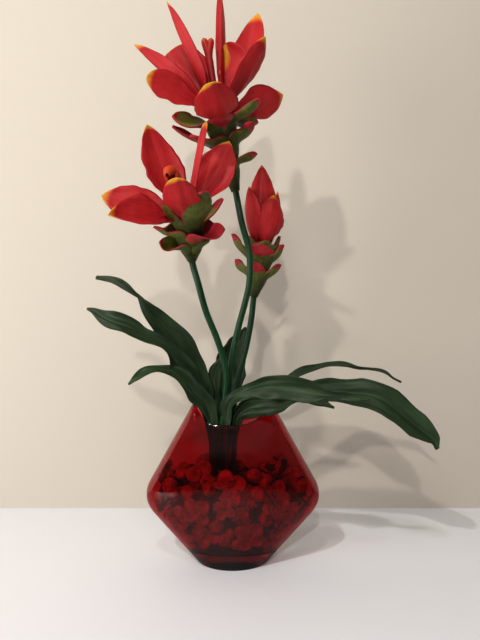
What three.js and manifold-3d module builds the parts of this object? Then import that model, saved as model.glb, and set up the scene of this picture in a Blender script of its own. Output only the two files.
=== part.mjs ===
import * as THREE from 'three';
import { mergeVertices } from 'three/addons/utils/BufferGeometryUtils.js';
import Module from 'manifold-3d';

// Torch ginger in a vase: two open flower heads and a bud on slim stems, with strap leaves, stand in a
// flattened ruby glass vase and are held by a bed of dried blossoms and berries.
// Millimetres, +Z up. The origin is the middle of the vase's flat base and -Y is the front.

const wasm = await Module();
wasm.setup();

// Driving dimensions
const gap = 0.3; // clearance between pieces that touch

const vase = {
  height: 168, // at the two side peaks of the rim
  saddle: 144, // rim height at the middle of front and back
  saddlePower: [4.5, 2.8], // how square the dip is to the left and to the right
  neckStart: 105, // the rim's dip fades out below this height
  mouth: 40, // half width between the peaks
  foot: 36, // half width of the flat base
  footRound: 3, // rounding of the base's edge
  flank: [82, 51], // half width and height where the straight flank meets the belly
  bellyPulls: [92.4, 62, 92.6, 74], // two control points that swell the belly to a half width of 90
  shoulder: [86.4, 85], // half width and height where the belly meets the neck
  wall: 4.5,
  floor: 14, // thick clear base
  floorRound: 1.5,
  segments: 32,
};

// Half depth of the vase at a few heights: [half depth, height]
const vaseDepth = [[24, 0], [34, 45], [37, 72], [34, 100], [22, 168]];

// The core is the peg inside a flower head, from a little below the neck to a little past the centre
const stem = { radius: 3.4, core: 4.2, coreBelow: 4, coreTip: 6, rows: 22, sides: 8 };
const stamen = { seat: 0.4, limb: [1.8, 2.4, 3, 3.2, 2.8], hood: [2, 2.8, 4.6, 6.4, 6.4, 3.4] }; // radii
const petalSize = {
  thickness: 1.1,
  claw: 9, // width where a petal starts
  seat: 0.9, // from the core to the middle of a petal's start
  tip: 0.8, // half width that a tip keeps
  widest: 0.52, // share of the length at which a petal is widest
  blunt: 0.8, // lower is blunter
  rows: 7,
  columns: 4,
};
// Bulge is the cup's width half way up, as a share of its mouth
const bractSize = { thickness: 1.4, bulge: 0.86, rows: 4, columns: 2, segments: 10 };
const lobeShape = { claw: 0.8, widest: 0.6, blunt: 0.45, bow: [2, 1] }; // claw is a share of the width
// A leaf opens out while its width grows by the given amount over the petiole's
const leafSize = { thickness: 1, petiole: 2.2, open: 9, cup: 22, rows: 20, columns: 2 };
const bed = { top: 80, crown: 7, inset: 2.4, segments: 16, heights: [18, 32, 51, 60, 68, 76] };
const blossom = { thickness: 5, notch: 0.26, setBack: 1.2 };
const berry = { radius: 7.6, setBack: 0.4 };

const colours = {
  glass: 0x8c0812,
  petal: 0xc1121c,
  bract: 0x5a5a1e,
  stem: 0x1f5a38,
  leaf: 0x1d3a26,
  stamen: 0xd8541e,
  bed: 0x3a1a14,
  blossom: 0xc8452f,
  berry: 0x9c1f1a,
};

// Flower heads: the neck is where the stem's collar ends, the centre is where the petals meet
const heads = {
  top: { neck: [2, -8, 390], centre: [-14, -26, 458] },
  left: { neck: [-41, -25, 313], centre: [-42, -50, 350] },
  bud: { neck: [23, 18, 281], centre: [31, 20, 328] },
};

// Stems, listed from the cut end in the bed up to the neck
const stemPaths = {
  top: [[-14, 0, 17], [-11, 0, 94], [-6, -3, 155], [-3, -5, 195], [1, -6, 222], [5, -7, 241],
    [13, -8, 271], [17, -8, 290], [17, -8, 322], [9, -8, 354]],
  left: [[-22, -7, 18], [-18, -9, 97], [-9, -11, 162], [-7, -12, 196], [-10, -13, 214],
    [-16, -16, 233], [-27, -21, 261], [-34, -24, 287]],
  bud: [[-5, 8, 17], [-8, 8, 92], [-1, 8, 146], [4, 9, 180], [10, 11, 207], [15, 14, 227], [20, 17, 255]],
};

// Petals, inner ones first. The tip is a real point, bow swells the petal away from the head's axis,
// sway bends it sideways, roll turns it about its own midline, fold creases it along the midline.
const petals = {
  top: {
    upright_left: { tip: [-63, -46, 558], width: 24, fold: 0.6, bow: [3, 3], sway: [-2, -3],
      roll: [0, 20, 30], lift: 3, widest: 0.4 },
    upright: { tip: [-12, -30, 581], width: 25, fold: 0.3, turn: 100, bow: [3, 8], sway: [0, 4],
      roll: [0, 0, 10], lift: 8, widest: 0.6, blunt: 0.6 },
    curled: { tip: [-8, -36, 522], width: 38, turn: 150, bow: [8, 12], sway: [-12, -22], lift: 6,
      widest: 0.6, blunt: 0.5 },
    back_left: { tip: [-62, -12, 530], width: 52, bow: [4, 4], roll: [0, -40, -60], lift: 4, blunt: 0.4 },
    folded_left: { tip: [-96, -38, 521], width: 26, fold: 0.6, bow: [3, 4], roll: [0, 20, 40],
      lift: 2, widest: 0.45 },
    back_right: { tip: [25, -34, 554], width: 48, turn: 118, bow: [9, 9], roll: [0, 15, 20], lift: 4 },
    right: { tip: [31, -60, 517], width: 35, bow: [6, 6], roll: [0, -20, -30], lift: 2 },
    lower_left: { tip: [-80, -60, 478], width: 39, bow: [1, -2], roll: [-20, -60, -70], widest: 0.62,
      blunt: 0.5 },
    lower_right: { tip: [51, -20, 480], width: 42, bow: [3, 6.5], roll: [0, -45, -65], widest: 0.56 },
    front: { tip: [-17, -104, 454], width: 43, bow: [17, 17], lift: -4, widest: 0.56, blunt: 0.5 },
  },
  left: {
    back: { tip: [-81, -51, 438], width: 43, bow: [14, 9], lift: 4, widest: 0.47 },
    upright: { tip: [-23, -70, 433], width: 12, bow: [-2, 1], roll: [0, -25, -15], lift: 4, fold: 0.2,
      widest: 0.7, blunt: 0.3 },
    right: { tip: [-3, -40, 426], width: 41, bow: [3, 5], roll: [0, 30, 30], lift: 2 },
    far_left: { tip: [-122, -60, 368], width: 40, bow: [2, 0], roll: [0, -35, -40] },
    lower_left: { tip: [-107, -95, 343], width: 43, fold: 0.45, bow: [9, 5], roll: [0, -20, -25] },
    front: { tip: [-44, -118, 369], width: 35, bow: [9, 9], blunt: 0.5 },
  },
  bud: {
    centre: { tip: [31, 14, 419], width: 38, turn: -10, bow: [6, 9], cup: 65 },
    left: { tip: [17, 6, 394], width: 38, turn: -62, bow: [10, 8], cup: 60 },
    right: { tip: [48, 12, 390], width: 36, turn: 80, bow: [8, 9], cup: 60 },
    back: { tip: [36, 30, 388], width: 38, turn: 178, bow: [10, 12], cup: 60 },
    front: { tip: [43, 0, 383], width: 42, turn: 8, bow: [10, 12], cup: 60 },
  },
};

// Bract whorls: a cup round the stem, at a height above the neck, with its lobes' tips and widths
const whorls = {
  top: {
    lower: { at: -4, height: 25, mouth: 10.5, bulge: 0.74, lobes: [
      { tip: [25, -10, 424], width: 21 }, { tip: [-22, -6, 424], width: 19 },
      { tip: [-7, -27, 420], width: 19 }, { tip: [5, 20, 428], width: 19 }] },
    middle: { at: 22, height: 19, mouth: 13.5, lobes: [
      { tip: [21, -24, 451], width: 24 }, { tip: [-59, -36, 442], width: 17 },
      { tip: [-40, -50, 428], width: 22 }, { tip: [-2, 18, 452], width: 21 }] },
    upper: { at: 42, height: 17, mouth: 15, lobes: [
      { tip: [26, -70, 455], width: 13 }, { tip: [-57, -50, 447], width: 25 },
      { tip: [-8, -66, 438], width: 27 }, { tip: [26, -8, 457], width: 20 },
      { tip: [-8, 14, 470], width: 21 }] },
  },
  left: {
    lower: { at: -2, height: 15, mouth: 12, bulge: 0.72, lobes: [
      { tip: [-70, -44, 328], width: 23 }, { tip: [-22, -36, 334], width: 18 },
      { tip: [-40, -6, 342], width: 19 }] },
    middle: { at: 13, height: 14, mouth: 14.5, lobes: [
      { tip: [-74, -55, 340], width: 21 }, { tip: [-7, -60, 337], width: 27 },
      { tip: [-44, -14, 358], width: 21 }] },
    upper: { at: 26, height: 12, mouth: 14.5, lobes: [
      { tip: [-25, -96, 363], width: 36 }, { tip: [-9, -50, 368], width: 18 },
      { tip: [-62, -78, 360], width: 18 }, { tip: [-46, -22, 374], width: 20 }] },
  },
  bud: {
    lower: { at: -4, height: 22, mouth: 12, bulge: 0.72, lobes: [
      { tip: [3, 18, 318], width: 19 }, { tip: [24, 0, 313], width: 21 },
      { tip: [51, 20, 313], width: 18 }, { tip: [26, 38, 314], width: 20 }] },
    upper: { at: 19, height: 17, mouth: 13.5, lobes: [
      { tip: [-1, 20, 346], width: 17 }, { tip: [30, -4, 334], width: 30 },
      { tip: [55, 20, 334], width: 17 }, { tip: [32, 42, 334], width: 27 }] },
    inner: { at: 37, height: 9, mouth: 13.5, lobes: [
      { tip: [16, 8, 342], width: 19 }, { tip: [51, 24, 344], width: 19 }] },
  },
};

// Leaves, from the cut end of the petiole to the tip: each place on the spine has its own width and twist,
// and face is the way that the upper side looks at the start
const leaves = {
  upper_left: { face: [0.5, -0.7, 0.6], fold: 0.2, spine: [
    [[-21, 5, 66], 4, 0], [[-21, 3, 120], 6, 0], [[-23, -1, 152], 10, 0], [[-30, -6, 174], 20, 0],
    [[-39, -10, 198], 27, 0], [[-52, -15, 222], 30, -10], [[-65, -20, 241], 26, -10],
    [[-78, -24, 257], 19, -20], [[-90, -30, 274], 13, -90], [[-105, -34, 286], 15, -160],
    [[-119, -35, 293], 12, -170], [[-134, -34, 294], 4, -150]] },
  middle_left: { face: [0.4, -0.7, 0.6], fold: 0.2, spine: [
    [[-26, -3, 66], 4, 0], [[-22, -4, 120], 6, 0], [[-25, -9, 151], 12, 0], [[-31, -13, 170], 15, 0],
    [[-41, -20, 189], 22, 0], [[-52, -28, 206], 25, 0], [[-63, -36, 221], 21, 30],
    [[-74, -41, 231], 14, 60], [[-87, -44, 238], 18, 20], [[-103, -46, 247], 21, 10],
    [[-117, -46, 253], 18, 10], [[-131, -43, 260], 10, 10], [[-141, -40, 263], 1, 0]] },
  lower_left: { face: [0.3, -0.8, 0.5], fold: 0.2, spine: [
    [[-22, -13, 66], 4, 0], [[-19, -16, 120], 7, 0], [[-20, -14, 151], 12, 0], [[-26, -19, 166], 18, 0],
    [[-36, -26, 180], 21, 0], [[-46, -32, 191], 18, 10], [[-55, -37, 198], 14, 40],
    [[-63, -41, 202], 13, 60], [[-74, -44, 204], 12, 50], [[-83, -46, 202], 11, 40],
    [[-92, -46, 197], 8, 30], [[-100, -44, 190], 1, 20]] },
  short: { face: [-0.3, -1, 0], fold: 0.15, spine: [
    [[-14, 8, 68], 4, 0], [[-14, 7, 120], 4, 0], [[-15, 3, 150], 9, 0], [[-18, 0, 168], 14, 0],
    [[-19, -2, 185], 16, 0], [[-17, -3, 202], 14, 0], [[-11, -4, 213], 2, 0]] },
  back: { face: [0, -1, 0], fold: 0.15, spine: [
    [[-7, 15, 66], 4, 0], [[-7, 14, 120], 4, 0], [[-5, 18, 149], 14, 0], [[-5, 22, 170], 29, 0],
    [[-4, 26, 191], 36, 0], [[-1, 28, 212], 33, 0], [[6, 28, 230], 20, 0], [[14, 27, 244], 1, 0]] },
  upper_right: { face: [-0.6, -0.2, 1], fold: 0.2, spine: [
    [[1, 12, 66], 4, 0], [[1, 12, 120], 4, 0], [[6, 13, 150], 6, 0], [[18, 19, 167], 12, 0],
    [[36, 27, 177], 15, 0], [[58, 34, 184], 16, 10], [[75, 39, 191], 16, 20], [[96, 43, 196], 16, 20],
    [[112, 45, 200], 16, 20], [[127, 46, 200], 14, 10], [[141, 46, 197], 11, 0], [[155, 45, 196], 11, 10],
    [[172, 43, 192], 10, 10], [[181, 41, 186], 7, 10], [[189, 39, 182], 1, 0]] },
  long_right: { face: [-0.6, -0.4, 0.8], fold: 0.12, spine: [
    [[0, 3, 66], 4, 0], [[2, 4, 120], 6, 0], [[5, 3, 150], 9, 0], [[14, 3, 165], 12, 0],
    [[31, 4, 173], 17, 0], [[55, 4, 176], 20, 10], [[82, 2, 175], 24, 20], [[107, 0, 175], 29, 25],
    [[125, -2, 175], 32, 30], [[140, -5, 173], 33, 30], [[157, -9, 166], 33, 30], [[174, -12, 155], 33, 30],
    [[188, -15, 144], 30, 30], [[198, -17, 135], 24, 30], [[204, -17, 129], 12, 30],
    [[208, -18, 121], 2, 30]] },
  front_right: { face: [-0.6, -0.6, 0.6], fold: 0.15, spine: [
    [[-8, -15, 66], 4, 0], [[-5, -14, 120], 8, 0], [[-6, -15, 150], 13, 0], [[-2, -20, 166], 15, 0],
    [[7, -26, 177], 15, 0], [[19, -33, 184], 16, 10], [[35, -41, 187], 24, 20], [[55, -49, 187], 28, 20],
    [[74, -55, 185], 23, 10], [[88, -59, 183], 12, 40], [[105, -61, 181], 9, 20], [[117, -62, 179], 7, 0],
    [[128, -62, 178], 1, 0]] },
  small_right: { face: [-0.6, -0.3, 1], fold: 0.2, spine: [
    [[0, -5, 66], 4, 0], [[0, -5, 120], 4, 0], [[5, -6, 152], 12, 0], [[20, -12, 167], 19, 0],
    [[38, -20, 171], 19, 0], [[57, -27, 173], 15, 0], [[77, -31, 172], 13, 0], [[89, -34, 170], 10, 0],
    [[100, -36, 166], 1, 0]] },
  under_right: { face: [0.4, 0.6, -0.6], fold: 0.2, spine: [
    [[2, -12, 68], 4, 0], [[1, -11, 120], 7, 0], [[4, -14, 154], 14, 0], [[16, -22, 163], 23, 0],
    [[29, -30, 167], 24, 0], [[43, -37, 169], 18, 0], [[54, -41, 172], 9, 0], [[63, -44, 174], 1, 0]] },
};

// Dried pieces that lie against the glass: [across, height] and a blossom's radius, front ones first
const blossomPlaces = {
  front: [[-36, 60, 16], [18, 36, 17], [-8, 64, 12], [54, 60, 14]],
  back: [[-22, 44, 15], [30, 58, 15]],
};
const berryPlaces = { front: [[26, 78], [-46, 78], [-17, 44]], back: [[8, 70], [52, 66]] };

// Small helpers
const vector = (values) => new THREE.Vector3(...values);
const ease = (x) => THREE.MathUtils.smoothstep(x, 0, 1);
const turned = (a, b, angle) => a.clone().multiplyScalar(Math.cos(angle)).addScaledVector(b, Math.sin(angle));

// Value at share s of a list whose entries are spread evenly over 0 to 1
function spread(values, s) {
  const list = [values].flat();
  if (list.length === 1) return list[0];
  const place = s * (list.length - 1);
  const k = Math.min(Math.floor(place), list.length - 2);
  return THREE.MathUtils.lerp(list[k], list[k + 1], place - k);
}

// Across value at a height, on a list of [across, height] points
function acrossAt(points, height) {
  const k = points.findIndex((p, i) => i > 0 && p[1] >= height);
  if (k < 0) return points[points.length - 1][0];
  const [a, b] = [points[k - 1], points[k]];
  return THREE.MathUtils.lerp(a[0], b[0], (height - a[1]) / (b[1] - a[1]));
}

function solidOf(geometry) {
  const source = geometry.index ? geometry.toNonIndexed() : geometry.clone();
  const bare = new THREE.BufferGeometry().setAttribute('position', source.getAttribute('position'));
  const merged = mergeVertices(bare, 1e-3);
  return new wasm.Manifold(new wasm.Mesh({
    numProp: 3,
    vertProperties: merged.getAttribute('position').array,
    triVerts: new Uint32Array(merged.index.array),
  }));
}

function geometryOf(solid) {
  const mesh = solid.getMesh();
  const geometry = new THREE.BufferGeometry();
  geometry.setAttribute('position', new THREE.BufferAttribute(mesh.vertProperties, 3));
  geometry.setIndex(new THREE.BufferAttribute(mesh.triVerts, 1));
  geometry.computeVertexNormals();
  return geometry;
}

const largest = (solid) => solid.decompose().sort((a, b) => b.volume() - a.volume())[0];

// Moves every vertex of a geometry to the point that place(x, y, z) gives
function warp(geometry, place) {
  const position = geometry.getAttribute('position');
  for (let i = 0; i < position.count; i += 1) {
    const p = place(position.getX(i), position.getY(i), position.getZ(i), i);
    position.setXYZ(i, p.x, p.y, p.z);
  }
  return geometry;
}

// A curved blade: a thin box warped along frames of { at, side, face }, one for each row
function blade(frames, columns, shape) {
  const rows = frames.length - 1;
  const box = new THREE.BoxGeometry(1, 1, 1, columns, rows, 1);
  return warp(box, (x, y, z) => {
    const row = Math.round((y + 0.5) * rows);
    const s = row / rows;
    const { at, side, face } = frames[row];
    const half = shape.half(s);
    const angle = THREE.MathUtils.degToRad(shape.cup(s));
    const bend = angle * 2 * x;
    const radius = half / angle;
    const crease = shape.fold(s) * Math.abs(2 * x) * half;
    return at.clone()
      .addScaledVector(side, radius * Math.sin(bend))
      .addScaledVector(face, radius * (1 - Math.cos(bend)) + crease)
      .addScaledVector(turned(face, side.clone().negate(), bend), -z * shape.thick(s));
  });
}

// The frame of a flower head: up is along its axis, front is towards -Y and right is towards +X
function headFrame(head) {
  const centre = vector(head.centre);
  const up = centre.clone().sub(vector(head.neck)).normalize();
  const front = new THREE.Vector3(0, -1, 0).projectOnPlane(up).normalize();
  return { centre, neck: vector(head.neck), up, front, right: up.clone().cross(front) };
}

// Rows along a petal or a lobe, from a ring round the head's axis to the tip
function petalFrames(frame, petal, start, rows) {
  const tip = vector(petal.tip);
  const away = tip.clone().sub(start.middle);
  const out = petal.turn === undefined
    ? away.clone().projectOnPlane(frame.up).normalize()
    : turned(frame.front, frame.right, THREE.MathUtils.degToRad(petal.turn));
  const foot = start.middle.clone().addScaledVector(out, start.ring);
  const chord = tip.clone().sub(foot);
  const along = chord.clone().normalize();
  const side = frame.up.clone().cross(out).projectOnPlane(along).normalize();
  const face = along.clone().cross(side);
  const control = (k) => foot.clone().addScaledVector(chord, (k + 1) / 3)
    .addScaledVector(face, -spread(petal.bow ?? 0, k))
    .addScaledVector(side, spread(petal.sway ?? 0, k));
  const curve = new THREE.CubicBezierCurve3(foot, control(0), control(1), tip);
  return Array.from({ length: rows + 1 }, (_, row) => {
    const s = row / rows;
    const tangent = curve.getTangent(s);
    const across = side.clone().projectOnPlane(tangent).normalize();
    const upper = tangent.clone().cross(across);
    const roll = THREE.MathUtils.degToRad(spread(petal.roll ?? 0, s));
    return {
      at: curve.getPoint(s),
      side: turned(across, upper, roll),
      face: turned(upper, across.clone().negate(), roll),
    };
  });
}

// Half width of a petal: a narrow claw that swells to the widest place and rounds off to a point
function petalHalf(petal, s) {
  const claw = (petal.claw ?? petalSize.claw) / 2;
  const full = petal.width / 2;
  const widest = petal.widest ?? petalSize.widest;
  if (s < widest) return THREE.MathUtils.lerp(claw, full, ease(s / widest));
  const past = (s - widest) / (1 - widest);
  return Math.max(full * (1 - past ** 2) ** (petal.blunt ?? petalSize.blunt), petalSize.tip);
}

function petalGeometry(frame, petal, margin) {
  const start = {
    middle: frame.centre.clone().addScaledVector(frame.up, petal.lift ?? 0),
    ring: stem.core + petalSize.seat,
  };
  return blade(petalFrames(frame, petal, start, petalSize.rows), petalSize.columns, {
    half: (s) => petalHalf(petal, s) + margin,
    cup: (s) => spread(petal.cup ?? [60, 35, 25, 20], s),
    fold: (s) => (petal.fold ?? 0) * ease(s * 3),
    thick: () => petalSize.thickness + 2 * margin,
  });
}

// A whorl of bracts: a bowl-shaped cup round the stem with its blunt lobes joined to the mouth
function whorlGeometry(frame, whorl, margin) {
  const thickness = bractSize.thickness;
  const inner = stem.core + gap - margin;
  const outer = whorl.mouth + margin;
  const bulge = whorl.bulge ?? bractSize.bulge;
  const wall = thickness + 2 * margin;
  const profile = [
    [inner, -margin],
    [inner + wall, -margin],
    [outer * bulge, whorl.height / 2],
    [outer, whorl.height + margin],
    [outer - wall, whorl.height + margin],
    [outer * bulge - wall, whorl.height / 2],
    [inner, -margin],
  ].map(([across, height]) => new THREE.Vector2(across, height));
  const cup = new THREE.LatheGeometry(profile, bractSize.segments);
  const basis = new THREE.Matrix4().makeBasis(frame.right, frame.up, frame.front);
  const bottom = frame.neck.clone().addScaledVector(frame.up, whorl.at);
  cup.applyMatrix4(basis.setPosition(bottom));
  const start = {
    middle: bottom.clone().addScaledVector(frame.up, whorl.height / 2),
    ring: whorl.mouth * bulge - thickness / 2,
  };
  return whorl.lobes.reduce((joined, lobe) => {
    const bract = { ...lobeShape, claw: lobe.width * lobeShape.claw, ...lobe };
    const frames = petalFrames(frame, bract, start, bractSize.rows);
    const shape = {
      half: (s) => petalHalf(bract, s) + margin,
      cup: (s) => spread([50, 40, 35], s),
      fold: () => 0,
      thick: () => wall,
    };
    return joined.add(solidOf(blade(frames, bractSize.columns, shape)));
  }, solidOf(cup));
}

// Rows along a leaf, whose upper side turns with the spine, with the width at each of them
function leafFrames(leaf, rows) {
  const places = leaf.spine.map(([place]) => vector(place));
  const curve = new THREE.CatmullRomCurve3(places, false, 'centripetal');
  const points = curve.getSpacedPoints(rows);
  const steps = 20;
  const lengths = curve.getLengths(steps * (places.length - 1));
  const shareOf = (k) => lengths[steps * k] / lengths[lengths.length - 1];
  const widths = leaf.spine.map(([, width], k) => [width, shareOf(k)]);
  const twists = leaf.spine.map(([, , twist], k) => [twist, shareOf(k)]);
  let upper = vector(leaf.face);
  return points.map((at, row) => {
    const before = points[Math.max(row - 1, 0)];
    const tangent = points[Math.min(row + 1, rows)].clone().sub(before).normalize();
    upper = upper.clone().projectOnPlane(tangent).normalize();
    const side = upper.clone().cross(tangent);
    const twist = THREE.MathUtils.degToRad(acrossAt(twists, row / rows));
    return {
      at,
      side: turned(side, upper, twist),
      face: turned(upper, side.clone().negate(), twist),
      width: acrossAt(widths, row / rows),
    };
  });
}

function leafGeometry(leaf, margin) {
  const frames = leafFrames(leaf, leafSize.rows);
  const width = (s) => frames[Math.round(s * leafSize.rows)].width;
  const openness = (s) => ease((width(s) - frames[0].width) / leafSize.open);
  return blade(frames, leafSize.columns, {
    half: (s) => width(s) / 2 + margin,
    cup: () => leafSize.cup,
    fold: (s) => leaf.fold * openness(s),
    thick: (s) => THREE.MathUtils.lerp(leafSize.petiole, leafSize.thickness, openness(s)) + 2 * margin,
  });
}

// A round rod along a curve, with its radius worked out from the share of the way
function rod(path, rows, radiusAt) {
  const points = path.getSpacedPoints(rows);
  let lateral = new THREE.Vector3(1, 0, 0);
  const frames = points.map((at, row) => {
    const before = points[Math.max(row - 1, 0)];
    const tangent = points[Math.min(row + 1, rows)].clone().sub(before).normalize();
    lateral = lateral.clone().projectOnPlane(tangent).normalize();
    return { at, lateral, other: tangent.clone().cross(lateral) };
  });
  return warp(new THREE.CylinderGeometry(1, 1, 1, stem.sides, rows), (x, y, z) => {
    const row = Math.round((y + 0.5) * rows);
    const radius = radiusAt(row / rows);
    const { at, lateral: first, other } = frames[row];
    return at.clone().addScaledVector(first, x * radius).addScaledVector(other, -z * radius);
  });
}

// The stem with the peg inside the flower head that carries the whorls and petals
function stemGeometry(frame, path, margin) {
  const tip = frame.centre.clone().addScaledVector(frame.up, stem.coreTip);
  const curve = new THREE.CatmullRomCurve3([...path.map(vector), frame.neck, frame.centre, tip]);
  const aboveNeck = (point) => point.clone().sub(frame.neck).dot(frame.up);
  const corePlace = curve.getSpacedPoints(stem.rows).findIndex((p) => aboveNeck(p) > -stem.coreBelow);
  return rod(curve, stem.rows, (s) => (s * stem.rows >= corePlace ? stem.core : stem.radius) + margin);
}

// A limb of a stamen, from the tip of the core through the given points
function stamenLimb(frame, points, rows, radii, margin) {
  const foot = frame.centre.clone().addScaledVector(frame.up, stem.coreTip + gap + stamen.seat - margin);
  const curve = new THREE.CatmullRomCurve3([foot, ...points.map(vector)]);
  return solidOf(rod(curve, rows, (s) => spread(radii, s) + margin));
}

// The forked stamen of the open head and the hooded one of the head that leans forward
function forkedStamen(frame, margin) {
  const trunk = [[-21, -27, 500], [-23.5, -27, 515]];
  return stamenLimb(frame, [...trunk, [-29, -28, 533]], 6, stamen.limb, margin)
    .add(stamenLimb(frame, [...trunk, [-21, -28, 533]], 6, stamen.limb, margin));
}

function hoodedStamen(frame, margin) {
  return stamenLimb(frame, [[-51, -76, 380], [-55, -93, 386], [-56, -100, 378]], 9, stamen.hood, margin);
}

// Outline of the vase from the front: a short foot radius, straight flanks and a rounded belly
function vaseOutline() {
  const path = new THREE.Path();
  const [shoulder, shoulderHeight] = vase.shoulder;
  path.moveTo(vase.foot - vase.footRound, 0);
  path.quadraticCurveTo(vase.foot, 0, vase.foot + vase.footRound * 0.7, vase.footRound);
  path.lineTo(...vase.flank);
  path.bezierCurveTo(...vase.bellyPulls, shoulder, shoulderHeight);
  for (const share of [0.35, 0.7, 1]) {
    path.lineTo(THREE.MathUtils.lerp(shoulder, vase.mouth, share),
      THREE.MathUtils.lerp(shoulderHeight, vase.height, share));
  }
  return path.getPoints(4).map((p) => [p.x, p.y]);
}

const outline = vaseOutline();
const depths = new THREE.SplineCurve(vaseDepth.map((place) => new THREE.Vector2(...place)))
  .getPoints(40).map((p) => [p.x, p.y]);

function rimHeight(x) {
  const power = vase.saddlePower[x < 0 ? 0 : 1];
  return vase.saddle + (vase.height - vase.saddle) * Math.min(Math.abs(x) / vase.mouth, 1) ** power;
}

// Turns a profile of { height, inset, share } into the vase's flattened round form. Inset is the distance
// inside the outer surface, share is 1 on a wall and runs to 0 at the middle of a floor.
function flattened(profile, segments) {
  const across = (p) => (acrossAt(outline, p.height) - p.inset) * p.share;
  const points = profile.map((p) => new THREE.Vector2(across(p), p.height));
  const lathe = new THREE.LatheGeometry(points, segments).rotateX(Math.PI / 2);
  return warp(lathe, (x, y, z, i) => {
    const { inset } = profile[i % profile.length];
    const half = acrossAt(outline, z) - inset;
    const fade = THREE.MathUtils.smoothstep(z, vase.neckStart, vase.height);
    const lowered = z * (1 + fade * (rimHeight(x) / vase.height - 1));
    return new THREE.Vector3(x, y * (acrossAt(depths, z) - inset) / half, lowered);
  });
}

function vaseGeometry(margin) {
  const inner = vase.wall + margin;
  const floor = vase.floor + margin;
  const top = vase.height + margin;
  const heights = outline.map((p) => p[1]).slice(0, -1);
  const wallHeights = heights.filter((height) => height > floor + vase.floorRound).reverse();
  const profile = [
    { height: 0, inset: -margin, share: 0 },
    ...[...heights, top].map((height) => ({ height, inset: -margin, share: 1 })),
    ...[top, ...wallHeights, floor + vase.floorRound].map((height) => ({ height, inset: inner, share: 1 })),
    { height: floor, inset: inner, share: 0.9 },
    { height: floor, inset: inner, share: 0 },
  ];
  return flattened(profile, vase.segments);
}

// The bed fills the bottom of the vase and rises to a low crown in the middle
function bedGeometry() {
  const inset = vase.wall + bed.inset;
  const profile = [
    { height: vase.floor + gap, inset, share: 0 },
    { height: vase.floor + gap, inset, share: 0.86 },
    ...bed.heights.map((height) => ({ height, inset, share: 1 })),
    { height: bed.top, inset, share: 0.94 },
    { height: bed.top + bed.crown * 0.7, inset, share: 0.6 },
    { height: bed.top + bed.crown, inset, share: 0 },
  ];
  return flattened(profile, bed.segments);
}

// The place just inside the glass at an across and a height: its point and the way out through the glass
function insideGlass(x, z, back, depth) {
  const step = 4;
  const half = acrossAt(outline, z) - vase.wall - gap;
  const reach = acrossAt(depths, z) - vase.wall - gap;
  const y = (back ? 1 : -1) * reach * Math.sqrt(1 - (x / half) ** 2);
  const slope = (acrossAt(depths, z + step) - acrossAt(depths, z - step)) / (2 * step);
  const out = new THREE.Vector3(x / half ** 2, y / reach ** 2, 0).normalize();
  out.z = -slope;
  out.normalize();
  return { at: new THREE.Vector3(x, y, z).addScaledVector(out, -depth), out };
}

// A four-lobed blossom pressed flat against the glass
function blossomGeometry([x, z, radius], back, margin) {
  const { at, out } = insideGlass(x, z, back, blossom.thickness / 2 + blossom.setBack);
  const right = new THREE.Vector3(0, 0, 1).cross(out).normalize();
  const up = out.clone().cross(right);
  return warp(new THREE.SphereGeometry(1, 16, 4), (a, b, c) => {
    const angle = Math.atan2(c, a);
    const notch = blossom.notch * (0.5 - 0.5 * Math.cos(4 * angle));
    const reach = Math.hypot(a, c) * (radius * (1 - notch) + margin);
    return at.clone()
      .addScaledVector(right, reach * Math.cos(angle))
      .addScaledVector(up, -reach * Math.sin(angle))
      .addScaledVector(out, b * (blossom.thickness / 2 + margin));
  });
}

function berryGeometry([x, z], back, margin) {
  const { at } = insideGlass(x, z, back, berry.radius + berry.setBack);
  return new THREE.SphereGeometry(berry.radius + margin, 8, 5).translate(at.x, at.y, at.z);
}

// Pieces are added from the inside out, and each new one is trimmed to clear those already in place,
// which are kept swollen by the gap
const bouquet = new THREE.Group();
const placed = [];

function boxesMeet(a, b) {
  return [0, 1, 2].every((k) => a.min[k] < b.max[k] && b.min[k] < a.max[k]);
}

function add(name, colour, make, finish = {}) {
  const whole = make(0);
  const made = whole.decompose ? whole : solidOf(whole);
  const near = placed.filter((other) => boxesMeet(made.boundingBox(), other.boundingBox()));
  const solid = largest(near.reduce((rest, other) => rest.subtract(other), made));
  const grown = make(gap);
  placed.push(grown.decompose ? grown : solidOf(grown));
  const material = new THREE.MeshStandardMaterial({ color: colour, roughness: 0.55, ...finish });
  const mesh = new THREE.Mesh(geometryOf(solid), material);
  mesh.name = name;
  bouquet.add(mesh);
}

const ruby = new THREE.MeshStandardMaterial({ color: colours.glass, roughness: 0.05 });
const glass = new THREE.Mesh(vaseGeometry(0), ruby);
glass.name = 'vase';
bouquet.add(glass);
placed.push(solidOf(vaseGeometry(gap)));

for (const [head, description] of Object.entries(heads)) {
  const frame = headFrame(description);
  add(`${head}_stem`, colours.stem, (margin) => stemGeometry(frame, stemPaths[head], margin));
  if (head === 'top') add('top_stamen', colours.stamen, (margin) => forkedStamen(frame, margin));
  if (head === 'left') add('left_stamen', colours.stamen, (margin) => hoodedStamen(frame, margin));
  for (const [place, petal] of Object.entries(petals[head])) {
    add(`${head}_petal_${place}`, colours.petal, (margin) => petalGeometry(frame, petal, margin));
  }
  for (const [place, whorl] of Object.entries(whorls[head]).reverse()) {
    add(`${head}_bracts_${place}`, colours.bract, (margin) => whorlGeometry(frame, whorl, margin));
  }
}

for (const [place, leaf] of Object.entries(leaves)) {
  add(`leaf_${place}`, colours.leaf, (margin) => leafGeometry(leaf, margin));
}

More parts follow.
